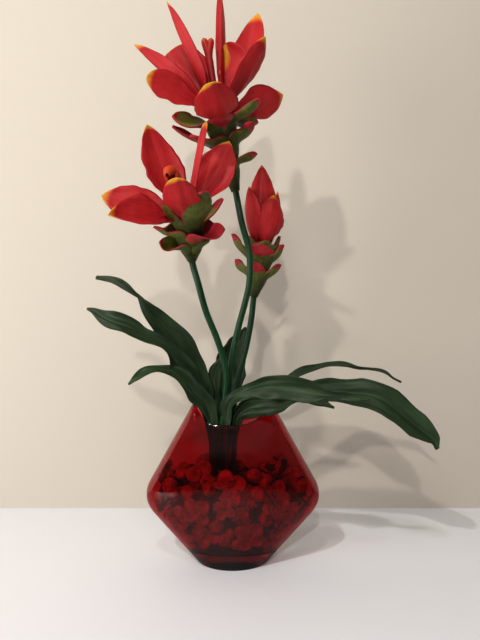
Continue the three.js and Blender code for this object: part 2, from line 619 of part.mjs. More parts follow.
for (const side of ['front', 'back']) {
  blossomPlaces[side].forEach((place, i) => {
    add(`blossom_${side}_${i + 1}`, colours.blossom,
      (margin) => blossomGeometry(place, side === 'back', margin), { roughness: 0.8 });
  });
  berryPlaces[side].forEach((place, i) => {
    add(`berry_${side}_${i + 1}`, colours.berry,
      (margin) => berryGeometry(place, side === 'back', margin), { roughness: 0.4 });
  });
}

add('filler_bed', colours.bed, bedGeometry, { roughness: 0.9 });

export default bouquet;
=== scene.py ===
import math
import random

import bpy
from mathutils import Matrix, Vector, noise


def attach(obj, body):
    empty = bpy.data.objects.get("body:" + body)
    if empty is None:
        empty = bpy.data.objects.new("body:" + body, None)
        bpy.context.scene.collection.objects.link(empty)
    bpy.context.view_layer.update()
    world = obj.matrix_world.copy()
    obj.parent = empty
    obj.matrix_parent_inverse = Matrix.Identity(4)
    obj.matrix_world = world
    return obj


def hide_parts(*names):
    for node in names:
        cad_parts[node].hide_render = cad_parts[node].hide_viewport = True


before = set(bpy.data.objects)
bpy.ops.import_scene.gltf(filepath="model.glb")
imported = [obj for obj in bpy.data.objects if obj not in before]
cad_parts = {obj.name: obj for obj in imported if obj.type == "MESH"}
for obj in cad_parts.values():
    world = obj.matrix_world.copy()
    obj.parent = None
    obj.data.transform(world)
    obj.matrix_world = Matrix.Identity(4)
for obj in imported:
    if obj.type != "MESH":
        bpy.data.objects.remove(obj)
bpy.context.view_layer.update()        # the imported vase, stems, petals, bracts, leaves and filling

mm = 0.001        # every size below is in millimetres
clearance = 0.3        # what touching pieces keep between them


# Small helpers for numbers

def eased(x):
    x = min(max(x, 0), 1)
    return x * x * (3 - 2 * x)


def mixed(a, b, share):
    return a + (b - a) * share


def spread(values, s):
    # value at share s of a list whose entries stand at even steps
    if not isinstance(values, (list, tuple)):
        return values
    place = min(max(s, 0), 1) * (len(values) - 1)
    k = min(int(place), len(values) - 2)
    return mixed(values[k], values[k + 1], place - k)


nearby = (-1, -0.5, 0, 0.5, 1)        # where a soft value looks, as shares of its reach


def softSpread(values, s):
    # the same with rounded corners, for long smooth outlines
    if not isinstance(values, (list, tuple)):
        return values
    reach = 0.45 / (len(values) - 1)
    return sum(spread(values, s + reach * k) for k in nearby) / len(nearby)


def between(shares, values, s):
    # value at share s of a list whose entries stand at the given shares
    for a, b, low, high in zip(shares, shares[1:], values, values[1:]):
        if s <= b:
            return mixed(low, high, max((s - a) / max(b - a, 1e-9), 0))
    return values[-1]


def softBetween(shares, values, s, reach):
    return sum(between(shares, values, s + reach * k) for k in nearby) / len(nearby)


def evenAngles(count):
    return [2 * math.pi * k / count for k in range(count)]


def turned(a, b, angle):
    # direction a turned towards b
    return a * math.cos(angle) + b * math.sin(angle)


def flatTo(v, normal):
    # the direction of the part of v that lies square to normal
    return (v - normal * v.dot(normal)).normalized()


def lumps(x, y, seed):
    return noise.noise(Vector((x, y, seed)))


# Materials

def linear(hexColour):
    # sRGB hex to the linear colour that shaders take
    channels = [int(hexColour[i:i + 2], 16) / 255 for i in (1, 3, 5)]
    return (*[c / 12.92 if c <= 0.04045 else ((c + 0.055) / 1.055) ** 2.4 for c in channels], 1)


def newMaterial(name):
    material = bpy.data.materials.new(name)
    material.use_nodes = True
    material.node_tree.nodes.clear()
    return material, material.node_tree


def addNode(tree, kind, settings=None, **inputs):
    # one node with its settings and links. An input goes by its label, or by i and its number. It is a
    # value, a socket, or a node that gives its first output. Stops are a ramp's (place, hex colour).
    node = tree.nodes.new("ShaderNode" + kind)
    for key, value in (settings or {}).items():
        if key == "stops":
            marks = node.color_ramp.elements
            while len(marks) < len(value):
                marks.new(0.5)
            for mark, (place, hexColour) in zip(marks, value):
                mark.position = place
                mark.color = linear(hexColour)
        else:
            setattr(node, key, value)
    for key, value in inputs.items():
        socket = node.inputs[int(key[1:])] if key[1:].isdigit() else node.inputs[key.replace("_", " ")]
        if isinstance(value, bpy.types.Node):
            value = value.outputs[0]
        if isinstance(value, bpy.types.NodeSocket):
            tree.links.new(value, socket)
        else:
            socket.default_value = value
    return node


# What every blade carries at its points: place is (across, along, rim or tip) as shares, and grain is
# (across, along, side) in millimetres
carriedPlace, carriedGrain = {"attribute_name": "place"}, {"attribute_name": "grain"}
underGrain = 7.0        # grain's side on the back of a blade, so that its two sides differ
adding, multiplying, scaling = {"operation": "ADD"}, {"operation": "MULTIPLY"}, {"operation": "SCALE"}
withoutSign = {"operation": "ABSOLUTE"}
softRange = {"interpolation_type": "SMOOTHSTEP"}
colourMix = {"data_type": "RGBA"}


def carriedBy(tree):
    place = addNode(tree, "Attribute", carriedPlace).outputs["Vector"]
    grain = addNode(tree, "Attribute", carriedGrain).outputs["Vector"]
    return addNode(tree, "SeparateXYZ", Vector=place).outputs, grain


def foamVeins(tree, grain, look):
    # lengthwise veins: painted shade in their grooves, painted light on their ridges, and the ridges raised
    # in the skin
    fibres = addNode(tree, "Mapping", Vector=grain, Scale=(1 / look["vein"], 1 / look["veinLength"], 1))
    veins = addNode(tree, "TexNoise", Vector=fibres, Scale=1.0, Detail=2.0)
    shade = addNode(tree, "MapRange", Value=veins, i1=0.3, i2=0.7, i3=look["veinShade"], i4=1.1)
    ridges = addNode(tree, "Bump", Strength=look["relief"], Distance=0.35 * mm, Height=veins)
    return shade, ridges


# Petal: soft latex foam, moulded, dyed red and airbrushed orange at the tip. It is darker red towards
# the heart, and the skin is satin with faint lengthwise veins.
petalFinish = {
    "heart": "#740c15", "body": "#a0161d", "bright": "#b82528", "blush": "#c9551e", "tip": "#cf952c",
    "cloud": 14.3,  # mm across a deeper or paler patch
    "vein": 1.5, "veinLength": 20,  # mm
    "veinShade": 0.82, "relief": 0.3,
    "edgeShade": 0.72,  # darker towards the edge
    "roughness": 0.5,
}


def makePetalFoam():
    look = petalFinish
    material, tree = newMaterial("dyedFoamPetal")
    place, grain = carriedBy(tree)
    mottle = addNode(tree, "TexNoise", Vector=grain, Scale=1 / look["cloud"], Detail=4.0)
    drift = addNode(tree, "MapRange", Value=mottle, i3=-0.2, i4=0.2)
    along = addNode(tree, "Math", adding, i0=place["Y"], i1=drift)
    bodyStops = [(0.0, look["heart"]), (0.3, look["body"]), (0.7, look["bright"]), (1.0, look["body"])]
    body = addNode(tree, "ValToRGB", {"stops": bodyStops}, Fac=along)
    reach = addNode(tree, "Math", adding, i0=place["Z"], i1=drift)
    tipStops = [(0.25, look["bright"]), (0.6, look["blush"]), (0.95, look["tip"])]
    tipped = addNode(tree, "ValToRGB", {"stops": tipStops}, Fac=reach)
    share = addNode(tree, "MapRange", softRange, Value=reach, i1=0.2, i2=0.6)
    colour = addNode(tree, "Mix", colourMix, i0=share, i6=body, i7=tipped)
    veinShade, ridges = foamVeins(tree, grain, look)
    aside = addNode(tree, "Math", withoutSign, i0=place["X"])
    edge = addNode(tree, "MapRange", softRange, Value=aside, i1=0.9, i2=1.0, i3=1.0, i4=look["edgeShade"])
    # the veins' painted shade and painted light, times the darker edge
    shading = addNode(tree, "Math", multiplying, i0=veinShade, i1=edge)
    shade = addNode(tree, "VectorMath", scaling, i0=colour.outputs[2], Scale=shading)
    foam = addNode(tree, "BsdfPrincipled", Base_Color=shade, Roughness=look["roughness"], Normal=ridges,
                   IOR=1.45, Specular_IOR_Level=0.2, Subsurface_Weight=0.1, Subsurface_Scale=1.2 * mm,
                   Subsurface_Radius=(1.0, 0.25, 0.15))
    addNode(tree, "OutputMaterial", Surface=foam)
    return material


# Bract: the same foam, fleshier, dyed olive green, with its rims and tips dipped dark red
# deep is painted shade: the foot of the cup and the closed funnel under it are darkest
bractFinish = {
    "deep": "#2a3013", "green": "#3d451b", "pale": "#5c6127", "inner": "#6c6628", "rim": "#9a1f28",
    "cloud": 6.25, "vein": 1.67, "veinLength": 16.7,  # mm
    "veinShade": 0.85, "relief": 0.35,
    "roughness": 0.5,
}


def makeBractFoam():
    look = bractFinish
    material, tree = newMaterial("dyedFoamBract")
    place, grain = carriedBy(tree)
    mottle = addNode(tree, "TexNoise", Vector=grain, Scale=1 / look["cloud"], Detail=4.0)
    drift = addNode(tree, "MapRange", Value=mottle, i1=0.3, i2=0.7, i3=-0.14, i4=0.14)
    along = addNode(tree, "Math", adding, i0=place["Y"], i1=drift)
    # darkest at the foot of the cup and on the funnel, whose along is 0: painted shade deep in the cup
    stops = [(0.05, look["deep"]), (0.4, look["green"]), (0.75, look["pale"]), (1.0, look["green"])]
    outer = addNode(tree, "ValToRGB", {"stops": stops}, Fac=along)
    # the face towards the flower took less green
    face = addNode(tree, "SeparateXYZ", Vector=grain).outputs["Z"]
    bare = addNode(tree, "MapRange", Value=face, i1=0.0, i2=underGrain * 0.7, i3=0.7, i4=0.0)
    body = addNode(tree, "Mix", colourMix, i0=bare, i6=outer, i7=linear(look["inner"])).outputs[2]
    reach = addNode(tree, "Math", adding, i0=place["Z"], i1=drift)
    dipped = addNode(tree, "MapRange", softRange, Value=reach, i1=0.2, i2=0.55)
    colour = addNode(tree, "Mix", colourMix, i0=dipped, i6=body, i7=linear(look["rim"]))
    veinShade, ridges = foamVeins(tree, grain, look)
    # the veins' painted shade in their grooves and painted light on their ridges
    shade = addNode(tree, "VectorMath", scaling, i0=colour.outputs[2], Scale=veinShade)
    foam = addNode(tree, "BsdfPrincipled", Base_Color=shade, Roughness=look["roughness"], Normal=ridges,
                   IOR=1.45, Specular_IOR_Level=0.25)
    addNode(tree, "OutputMaterial", Surface=foam)
    return material


# Leaf: polyester cloth pressed in a mould and dipped in latex. Pressing leaves a midrib and fine
# parallel veins, and the dip a satin skin that turns greyer where it catches the light.
leafFinish = {
    "dark": "#172514", "green": "#22341f", "light": "#2e4428", "midrib": "#405a34",
    "cloud": (11.1, 50),  # mm across and along a darker or paler patch
    "vein": 1.6,  # mm between veins
    "sway": 16.7,  # mm between the places where the veins bend
    "roughness": 0.46,
}


def makeLeafCloth():
    look = leafFinish
    material, tree = newMaterial("latexDippedLeaf")
    grain = addNode(tree, "Attribute", carriedGrain).outputs["Vector"]
    across = addNode(tree, "SeparateXYZ", Vector=grain)
    patches = addNode(tree, "Mapping", Vector=grain, Scale=(*[1 / size for size in look["cloud"]], 1))
    clouds = addNode(tree, "TexNoise", Vector=patches, Scale=1.0, Detail=4.0)
    stops = [(0.3, look["dark"]), (0.5, look["green"]), (0.75, look["light"])]
    body = addNode(tree, "ValToRGB", {"stops": stops}, Fac=clouds)
    bend = addNode(tree, "TexNoise", Vector=grain, Scale=1 / look["sway"], Detail=1.0)
    wander = addNode(tree, "Math", multiplying, i0=bend, i1=8.0)
    turns = addNode(tree, "Math", multiplying, i0=across, i1=2 * math.pi / look["vein"])
    phase = addNode(tree, "Math", adding, i0=turns, i1=wander)
    ridge = addNode(tree, "Math", {"operation": "SINE"}, i0=phase)
    # the colour follows the ridges of the bump: painted shade in the vein grooves, painted highlight on their
    # ridges
    depth = addNode(tree, "MapRange", Value=ridge, i1=-1.0, i2=1.0, i3=0.94, i4=1.05)
    shade = addNode(tree, "VectorMath", scaling, i0=body, Scale=depth)
    middle = addNode(tree, "Math", withoutSign, i0=across)
    rib = addNode(tree, "MapRange", softRange, Value=middle, i1=0.2, i2=1.0, i3=0.2, i4=0.0)
    colour = addNode(tree, "Mix", colourMix, i0=rib, i6=shade, i7=linear(look["midrib"]))
    ridges = addNode(tree, "Bump", Strength=0.2, Distance=0.15 * mm, Height=ridge)
    skin = addNode(tree, "BsdfPrincipled", Base_Color=colour.outputs[2], Roughness=look["roughness"],
                   Normal=ridges, IOR=1.47, Specular_IOR_Level=0.22)
    addNode(tree, "OutputMaterial", Surface=skin)
    return material


# Stem: steel wire in extruded polyethylene, smooth, satin and deep bluish green, with fine lines that
# the extruder drew along it
stemFinish = {
    "stops": [(0.3, "#0a2a14"), (0.6, "#103d1f"), (0.8, "#1a512b")],
    "line": (1.11, 1.11, 25),  # mm across and along a drawn line
    "roughness": 0.38,
}


def makeStemPlastic():
    look = stemFinish
    material, tree = newMaterial("extrudedPolyethyleneStem")
    spot = addNode(tree, "TexCoord").outputs["Object"]
    drawn = addNode(tree, "Mapping", Vector=spot, Scale=[1 / (size * mm) for size in look["line"]])
    lines = addNode(tree, "TexNoise", Vector=drawn, Scale=1.0, Detail=2.0)
    colour = addNode(tree, "ValToRGB", {"stops": look["stops"]}, Fac=lines)
    scores = addNode(tree, "Bump", Strength=0.12, Distance=0.2 * mm, Height=lines)
    skin = addNode(tree, "BsdfPrincipled", Base_Color=colour, Roughness=look["roughness"], Normal=scores,
                   IOR=1.51, Specular_IOR_Level=0.3)
    addNode(tree, "OutputMaterial", Surface=skin)
    return material


# Stamen: the petals' foam, green at its foot and deep red above. The hooded one is airbrushed orange.
stamenFinish = {
    "stops": [(0.0, "#5f6b26"), (0.12, "#660d14"), (0.6, "#8c1016"), (0.9, "#a8221c"), (1.0, "#bd5228")],
    "cap": "#ba3c1c",
    "cloud": 4,  # mm
    "roughness": 0.5,
}


def makeStamenFoam():
    look = stamenFinish
    material, tree = newMaterial("dyedFoamStamen")
    place, grain = carriedBy(tree)
    mottle = addNode(tree, "TexNoise", Vector=grain, Scale=1 / look["cloud"], Detail=3.0)
    drift = addNode(tree, "MapRange", Value=mottle, i3=-0.16, i4=0.16)
    along = addNode(tree, "Math", adding, i0=place["Y"], i1=drift)
    red = addNode(tree, "ValToRGB", {"stops": look["stops"]}, Fac=along)
    colour = addNode(tree, "Mix", colourMix, i0=place["Z"], i6=red, i7=linear(look["cap"]))
    foam = addNode(tree, "BsdfPrincipled", Base_Color=colour.outputs[2], Roughness=look["roughness"],
                   IOR=1.45, Specular_IOR_Level=0.2)
    addNode(tree, "OutputMaterial", Surface=foam)
    return material


# Vase: hand-blown soda-lime glass with a thin ruby layer outside. Blowing leaves slow waves that bend
# what is seen through it, and the ruby turns nearly black where the light crosses it more than once.
# Wine is a darker ruby round the foot. Body tints what is seen through the
# glass, and through is how it tints the light that the lamps send in.
glassFinish = {
    "waves": (52, 52, 17.3),  # mm between waves, across and up
    "relief": 0.38, "roughness": 0.05, "ior": 1.5,
}
glassLayers = {
    "clearGlass": {"body": "#f6f8f6", "through": "#fafbfa"},
    "rubyGlass": {"body": "#a00a12", "through": "#b04a51"},
    "wineGlass": {"body": "#4c060c", "through": "#7a2a30"},
}


def makeGlass(name):
    look, layer = glassFinish, glassLayers[name]
    material, tree = newMaterial(name)
    spot = addNode(tree, "TexCoord").outputs["Object"]
    drawn = addNode(tree, "Mapping", Vector=spot, Scale=[1 / (size * mm) for size in look["waves"]])
    wave = addNode(tree, "TexNoise", Vector=drawn, Scale=1.0, Detail=1.5)
    surface = addNode(tree, "Bump", Strength=look["relief"], Distance=1.0 * mm, Height=wave)
    blown = addNode(tree, "BsdfPrincipled", Base_Color=linear(layer["body"]), Roughness=look["roughness"],
                    IOR=look["ior"], Transmission_Weight=1.0, Normal=surface)
    # lamps shine through the glass, so that what stands inside it is lit
    shadow = addNode(tree, "LightPath").outputs["Is Shadow Ray"]
    clear = addNode(tree, "BsdfTransparent", Color=linear(layer["through"]))
    either = addNode(tree, "MixShader", i0=shadow, i1=blown, i2=clear)
    addNode(tree, "OutputMaterial", Surface=either)
    return material


# Filling: dried and dyed blossoms, berries and twigs. Drying browned them in spots of these mm, and left
# the blossoms papery, the berries waxy and the rest rough.
driedFinish = {
    "driedBlossom": {"stops": [(0.35, "#7a342e"), (0.52, "#a4574c"), (0.7, "#bf8173")],
                     "spot": 9, "roughness": 0.8},
    "driedBerry": {"stops": [(0.35, "#7c2c22"), (0.6, "#ad5644"), (0.8, "#d08672")],
                   "spot": 5, "roughness": 0.3},
    "driedTwig": {"stops": [(0.35, "#1e100c"), (0.6, "#3a2018"), (0.8, "#55301f")],
                  "spot": 4, "roughness": 0.85},
    # the crumbs' dark brown is partly their own colour and partly painted shade for the gaps deep between the
    # pieces
    "driedCrumbs": {"stops": [(0.35, "#200f0c"), (0.55, "#452018"), (0.75, "#6b382b")],
                    "spot": 5, "roughness": 0.9},
}
driedCrinkle = 1.2        # mm between the creases that drying left


def makeDried(name):
    look = driedFinish[name]
    material, tree = newMaterial(name)
    spot = addNode(tree, "TexCoord").outputs["Object"]
    mottle = addNode(tree, "TexNoise", Vector=spot, Scale=1 / (look["spot"] * mm), Detail=5.0)
    colour = addNode(tree, "ValToRGB", {"stops": look["stops"]}, Fac=mottle)
    creased = addNode(tree, "TexNoise", Vector=spot, Scale=1 / (driedCrinkle * mm), Detail=3.0)
    creases = addNode(tree, "Bump", Strength=0.5, Distance=0.4 * mm, Height=creased)
    skin = addNode(tree, "BsdfPrincipled", Base_Color=colour, Roughness=look["roughness"], Normal=creases)
    addNode(tree, "OutputMaterial", Surface=skin)
    return material


petalFoam, bractFoam, leafCloth = makePetalFoam(), makeBractFoam(), makeLeafCloth()
stemPlastic, stamenFoam = makeStemPlastic(), makeStamenFoam()
glass = {name: makeGlass(name) for name in glassLayers}
dried = {name: makeDried(name) for name in driedFinish}
print("materials made")


# Meshes

def skinOf(rings, places=None, grains=None, joined=False):
    # rings of points one after the other; joined means that the last one meets the first
    plain = [[(0.0, 0.0, 0.0)] * len(ring) for ring in rings]
    return {"rings": rings, "places": places or plain, "grains": grains or plain, "joined": joined}


def addPiece(name, skins, material, nodes=()):
    points, places, grains, faces = [], [], [], []
    for skin in skins:
        rings, first = skin["rings"], len(points)
        width, count = len(rings[0]), len(rings)
        for ring, placeRing, grainRing in zip(rings, skin["places"], skin["grains"]):
            points += [p * mm for p in ring]
            places += placeRing
            grains += grainRing
        for row in range(count if skin["joined"] else count - 1):
            here, there = first + row * width, first + (row + 1) % count * width
            faces += [(here + k, here + (k + 1) % width, there + (k + 1) % width, there + k)
                      for k in range(width)]
        if not skin["joined"]:
            faces.append(tuple(first + k for k in reversed(range(width))))
            faces.append(tuple(first + (count - 1) * width + k for k in range(width)))
    mesh = bpy.data.meshes.new(name)
    mesh.from_pydata(points, [], faces)
    for label, values in (("place", places), ("grain", grains)):
        attribute = mesh.attributes.new(label, "FLOAT_VECTOR", "POINT")
        attribute.data.foreach_set("vector", [x for value in values for x in value])
    mesh.materials.append(material)
    mesh.polygons.foreach_set("use_smooth", [True] * len(faces))
    mesh.update()
    piece = bpy.data.objects.new(name, mesh)
    bpy.context.scene.collection.objects.link(piece)
    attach(piece, "root")
    if nodes:
        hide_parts(*nodes)
    return piece


def camelName(node):
    first, *rest = node.split("_")
    return first + "".join(word.capitalize() for word in rest)


def bladeSkin(frames, columns, shape, length):
    # a closed blade over frames of (share, at, side, face); a ring runs over the face and back under it
    rings, places, grains = [], [], []
    order = list(range(columns + 1)) + list(range(columns - 1, 0, -1))
    ragged = shape.get("ragged", lambda s, x: 0)        # how far an edge is cut short or long
    for s, at, side, face in frames:
        half = shape["half"](s)
        bend = math.radians(shape["cup"](s))
        radius = half / bend
        ring, placeRing, grainRing = [], [], []
        for k, column in enumerate(order):
            x = 1 - 2 * column / columns
            under = k > columns
            angle = bend * x
            inward = radius * (1 - math.cos(angle)) + shape["lift"](s, x)
            middle = at + side * (radius * math.sin(angle) * (1 + ragged(s, x))) + face * inward
            out = turned(face, -side, angle)
            thick = shape["thick"](s) * math.sqrt(max(1 - x ** 4, 0))
            ring.append(middle + out * thick * (-0.5 if under else 0.5))
            placeRing.append((x, s, shape["tint"](s, x)))
            grainRing.append((x * half, s * length, underGrain if under else 0.0))
        rings.append(ring)
        places.append(placeRing)
        grains.append(grainRing)
    return skinOf(rings, places, grains)


def splinePoints(points, count):
    # count + 1 evenly spaced points on a smooth curve through the given ones, its length, and the
    # share of that length at which each given point stands
    knots = [Vector(p) for p in points]
    knots = [2 * knots[0] - knots[1], *knots, 2 * knots[-1] - knots[-2]]
    fine = []
    steps = 24
    for a, b, c, d in zip(knots, knots[1:], knots[2:], knots[3:]):
        # centripetal form, which doesn't overshoot between uneven points
        ab, bc, cd = (max((q - p).length, 1e-6) ** 0.5 for p, q in ((a, b), (b, c), (c, d)))
        leave = ((b - a) / ab - (c - a) / (ab + bc) + (c - b) / bc) * bc
        arrive = ((c - b) / bc - (d - b) / (bc + cd) + (d - c) / cd) * bc
        for i in range(steps):
            t = i / steps
            fine.append((2 * t ** 3 - 3 * t ** 2 + 1) * b + (t ** 3 - 2 * t ** 2 + t) * leave
                        + (3 * t ** 2 - 2 * t ** 3) * c + (t ** 3 - t ** 2) * arrive)
    fine.append(knots[-2])
    lengths = [0.0]
    for p, q in zip(fine, fine[1:]):
        lengths.append(lengths[-1] + (q - p).length)
    whole = lengths[-1]
    out, k = [], 0
    for i in range(count + 1):
        wanted = whole * i / count
        while k < len(fine) - 2 and lengths[k + 1] < wanted:
            k += 1
        step = max(lengths[k + 1] - lengths[k], 1e-9)
        out.append(fine[k].lerp(fine[k + 1], min((wanted - lengths[k]) / step, 1)))
    return out, whole, [length / whole for length in lengths[::steps]]


def tangentsOf(points):
    last = len(points) - 1
    return [(points[min(i + 1, last)] - points[max(i - 1, 0)]).normalized() for i in range(last + 1)]


def framesAlong(points, upper, twistAt):
    # (share, at, side, face) at each point, the face kept as near to the last one as the bends allow
    frames = []
    last = len(points) - 1
    for row, (at, tangent) in enumerate(zip(points, tangentsOf(points))):
        upper = flatTo(upper, tangent)
        side = upper.cross(tangent)
        twist = math.radians(twistAt(row / last))
        frames.append((row / last, at, turned(side, upper, twist), turned(upper, -side, twist)))
    return frames


def rodSkin(points, radiusAt, sides):
    # a round rod along points, its radius worked out from the share of the way
    rings, places, grains = [], [], []
    lateral = Vector((1, 0, 0))
    last = len(points) - 1
    grainLength = 20        # as if every rod were this long
    angles = evenAngles(sides)
    for row, (at, tangent) in enumerate(zip(points, tangentsOf(points))):
        lateral = flatTo(lateral, tangent)
        other = tangent.cross(lateral)
        radius = radiusAt(row / last)
        rings.append([at + turned(lateral, other, a) * radius for a in angles])
        places.append([(math.cos(a), row / last, 0.0) for a in angles])
        grains.append([(radius * a, row / last * grainLength, 0.0) for a in angles])
    return skinOf(rings, places, grains)


# Flower heads: the neck is where the stem's collar ends, the centre is where the petals meet
heads = {
    "top": {"neck": (2, -8, 390), "centre": (-14, -26, 458)},
    "left": {"neck": (-41, -25, 313), "centre": (-42, -50, 350)},
    "bud": {"neck": (23, 18, 281), "centre": (31, 20, 328)},
}

core = {"radius": 4.2, "stem": 3.3, "above": 6, "below": 4}        # the peg that carries a head's petals

# Petals, inner ones first: the tip is a real point, turn is the way that the petal starts out from the
# head's axis where that isn't towards its tip, bow swells it away from the axis, sway bends it sideways,
# roll turns it about its midline, fold creases it, blush is how far down the tip's orange runs and
# blushSide brings it along one edge.
petals = {
    "top": {
        "upright_left": {"tip": (-63, -46, 558), "width": 24, "fold": 0.6, "bow": (3, 3), "sway": (-2, -3),
                         "roll": (0, 20, 30), "lift": 3, "widest": 0.4, "blush": 0.05},
        "upright": {"tip": (-12, -30, 581), "width": 25, "fold": 0.3, "turn": 100, "bow": (3, 8),
                    "sway": (0, 4), "roll": (0, 0, 10), "lift": 8, "widest": 0.6, "blunt": 0.6,
                    "blush": 0.04},
        "curled": {"tip": (-8, -36, 522), "width": 38, "turn": 150, "bow": (8, 12), "sway": (-12, -22),
                   "lift": 6, "widest": 0.6, "blunt": 0.5, "blush": 0.11, "blushSide": 2.2},
        "back_left": {"tip": (-62, -12, 530), "width": 52, "bow": (4, 4), "roll": (0, -40, -60), "lift": 4,
                      "blunt": 0.4, "blush": 0.003},
        "folded_left": {"tip": (-96, -38, 521), "width": 26, "fold": 0.6, "bow": (3, 4), "roll": (0, 20, 40),
                        "lift": 2, "widest": 0.45, "blush": 0.12},
        "back_right": {"tip": (25, -34, 554), "width": 48, "turn": 118, "bow": (9, 9), "roll": (0, 15, 20),
                       "lift": 4, "blush": 0.13},
        "right": {"tip": (31, -60, 517), "width": 35, "bow": (6, 6), "roll": (0, -20, -30), "lift": 2,
                  "blush": 0.12, "blushSide": 0.3},
        "lower_left": {"tip": (-80, -60, 478), "width": 39, "bow": (1, -2), "roll": (-20, -60, -70),
                       "widest": 0.62, "blunt": 0.5, "blush": 0.13},
        "lower_right": {"tip": (51, -20, 480), "width": 42, "bow": (3, 6.5), "roll": (0, -45, -65),
                        "widest": 0.56, "blush": 0.12, "blushSide": 0.3},
        "front": {"tip": (-17, -104, 454), "width": 43, "bow": (17, 17), "lift": -4, "widest": 0.56,
                  "blunt": 0.5, "blush": 0.05, "blushSide": -0.5},
    },
    "left": {
        "back": {"tip": (-81, -51, 438), "width": 43, "bow": (14, 9), "lift": 4, "widest": 0.47,
                 "blush": 0.09},
        "upright": {"tip": (-23, -70, 433), "width": 12, "bow": (-2, 1), "roll": (0, -25, -15), "lift": 4,
                    "fold": 0.2, "widest": 0.7, "blunt": 0.3, "blush": 0.1},
        "right": {"tip": (-3, -40, 426), "width": 41, "bow": (3, 5), "roll": (0, 30, 30), "lift": 2,
                  "blush": 0.07, "blushSide": 0.2},
        "far_left": {"tip": (-122, -60, 368), "width": 40, "bow": (2, 0), "roll": (0, -35, -40),
                     "blush": 0.17},
        "lower_left": {"tip": (-107, -95, 343), "width": 43, "fold": 0.45, "bow": (9, 5),
                       "roll": (0, -20, -25), "blush": 0.14},
        "front": {"tip": (-44, -118, 369), "width": 35, "bow": (9, 9), "blunt": 0.5, "blush": 0.08,
                  "blushSide": -0.4},
    },
    "bud": {
        "centre": {"tip": (31, 14, 419), "width": 38, "turn": -10, "bow": (6, 9), "cup": 65, "blush": 0.06},
        "left": {"tip": (17, 6, 394), "width": 38, "turn": -62, "bow": (10, 8), "cup": 60, "blush": 0.06},
        "right": {"tip": (48, 12, 390), "width": 36, "turn": 80, "bow": (8, 9), "cup": 60, "blush": 0.1},
        "back": {"tip": (36, 30, 388), "width": 38, "turn": 178, "bow": (10, 12), "cup": 60, "blush": 0.06},
        "front": {"tip": (43, 0, 383), "width": 42, "turn": 8, "bow": (10, 12), "cup": 60, "blush": 0.12},
    },
}

petalShape = {
    "thickness": 1.3, "claw": 9, "seat": 0.9, "widest": 0.52, "blunt": 0.8, "cup": (60, 35, 25, 20),
    "point": 0.35,  # half its width at the very tip
    "keel": 0.7, "keelWidth": 2.2,  # depth and width of the pressed midline
    "ripple": 0.05, "dent": 0.0714, "ragged": 0.12,  # waves, dents, uneven outline: shares of its half width
    "rows": 44, "columns": 18,
    "crowding": 1.4,  # how much the rows close up towards the tip
}


def headFrame(head):
    # up is along the head's axis, front is towards -Y and right is towards +X
    neck, centre = Vector(head["neck"]), Vector(head["centre"])
    up = (centre - neck).normalized()
    front = flatTo(Vector((0, -1, 0)), up)
    return {"neck": neck, "centre": centre, "up": up, "front": front, "right": up.cross(front)}


def petalFrames(frameOf, petal):
    tip, rows = Vector(petal["tip"]), petalShape["rows"]
    middle = frameOf["centre"] + frameOf["up"] * petal.get("lift", 0)
    if "turn" in petal:
        out = turned(frameOf["front"], frameOf["right"], math.radians(petal["turn"]))
    else:
        out = flatTo(tip - middle, frameOf["up"])
    foot = middle + out * (core["radius"] + petalShape["seat"])
    chord = tip - foot
    along = chord.normalized()
    side = flatTo(frameOf["up"].cross(out), along)
    face = along.cross(side)
    first, second = (foot + chord * (k + 1) / 3 - face * spread(petal.get("bow", 0), k)
                     + side * spread(petal.get("sway", 0), k) for k in (0, 1))
    frames = []
    for row in range(rows + 1):
        r = (1 - row / rows) ** petalShape["crowding"]
        s = 1 - r
        at = foot * r ** 3 + first * 3 * r * r * s + second * 3 * r * s * s + tip * s ** 3
        slope = (first - foot) * r * r + (second - first) * 2 * r * s + (tip - second) * s * s
        tangent = slope.normalized()
        across = flatTo(side, tangent)
        upper = tangent.cross(across)
        roll = math.radians(softSpread(petal.get("roll", 0), s))
        frames.append((s, at, turned(across, upper, roll), turned(upper, -across, roll)))
    return frames, chord.length


def petalHalf(petal, s):
    claw = petalShape["claw"] / 2
    full = petal["width"] / 2
    widest = petal.get("widest", petalShape["widest"])
    if s < widest:
        return mixed(claw, full, eased(s / widest))
    past = (s - widest) / (1 - widest)
    return max(full * (1 - past ** 2) ** petal.get("blunt", petalShape["blunt"]), petalShape["point"])


def petalSkin(frameOf, petal, seed):
    shape = petalShape
    frames, length = petalFrames(frameOf, petal)
    blush = petal["blush"]

    def lift(s, x):
        half = petalHalf(petal, s)
        crease = petal.get("fold", 0) * eased(s * 3) * math.hypot(x, 0.08) * half
        pressed = math.exp(-(x * half / shape["keelWidth"]) ** 2) * eased(s * 4) * eased((1 - s) * 4)
        wave = lumps(s * 5, x * 1.3, seed) * shape["ripple"] * abs(x) ** 1.5 * eased(s * 3)
        dent = lumps(s * 3, x * 2, seed + 50) * shape["dent"]
        return crease - shape["keel"] * pressed + (wave + dent) * half

    def tint(s, x):
        lean = petal.get("blushSide", 0) * x
        start = 1 - blush * (1 + max(lean, 0) * 3)
        return eased((s + 0.04 * abs(x) ** 3 + 0.04 * lean - start) / (1 - start))

    return bladeSkin(frames, shape["columns"], {
        "half": lambda s: petalHalf(petal, s),
        "cup": lambda s: softSpread(petal.get("cup", shape["cup"]), s),
        "lift": lift,
        "thick": lambda s: shape["thickness"] * mixed(1.0, 0.6, s),
        "tint": tint,
        "ragged": lambda s, x: shape["ragged"] * lumps(s * 8, 4 if x > 0 else 9, seed) * abs(x),
    }, length)


headFrames = {head: headFrame(place) for head, place in heads.items()}
for head, group in petals.items():
    for number, (place, petal) in enumerate(group.items()):
        node = f"{head}_petal_{place}"
        skin = petalSkin(headFrames[head], petal, 10 * len(group) + number)
        addPiece(camelName(node), [skin], petalFoam, [node])
print("petals made")


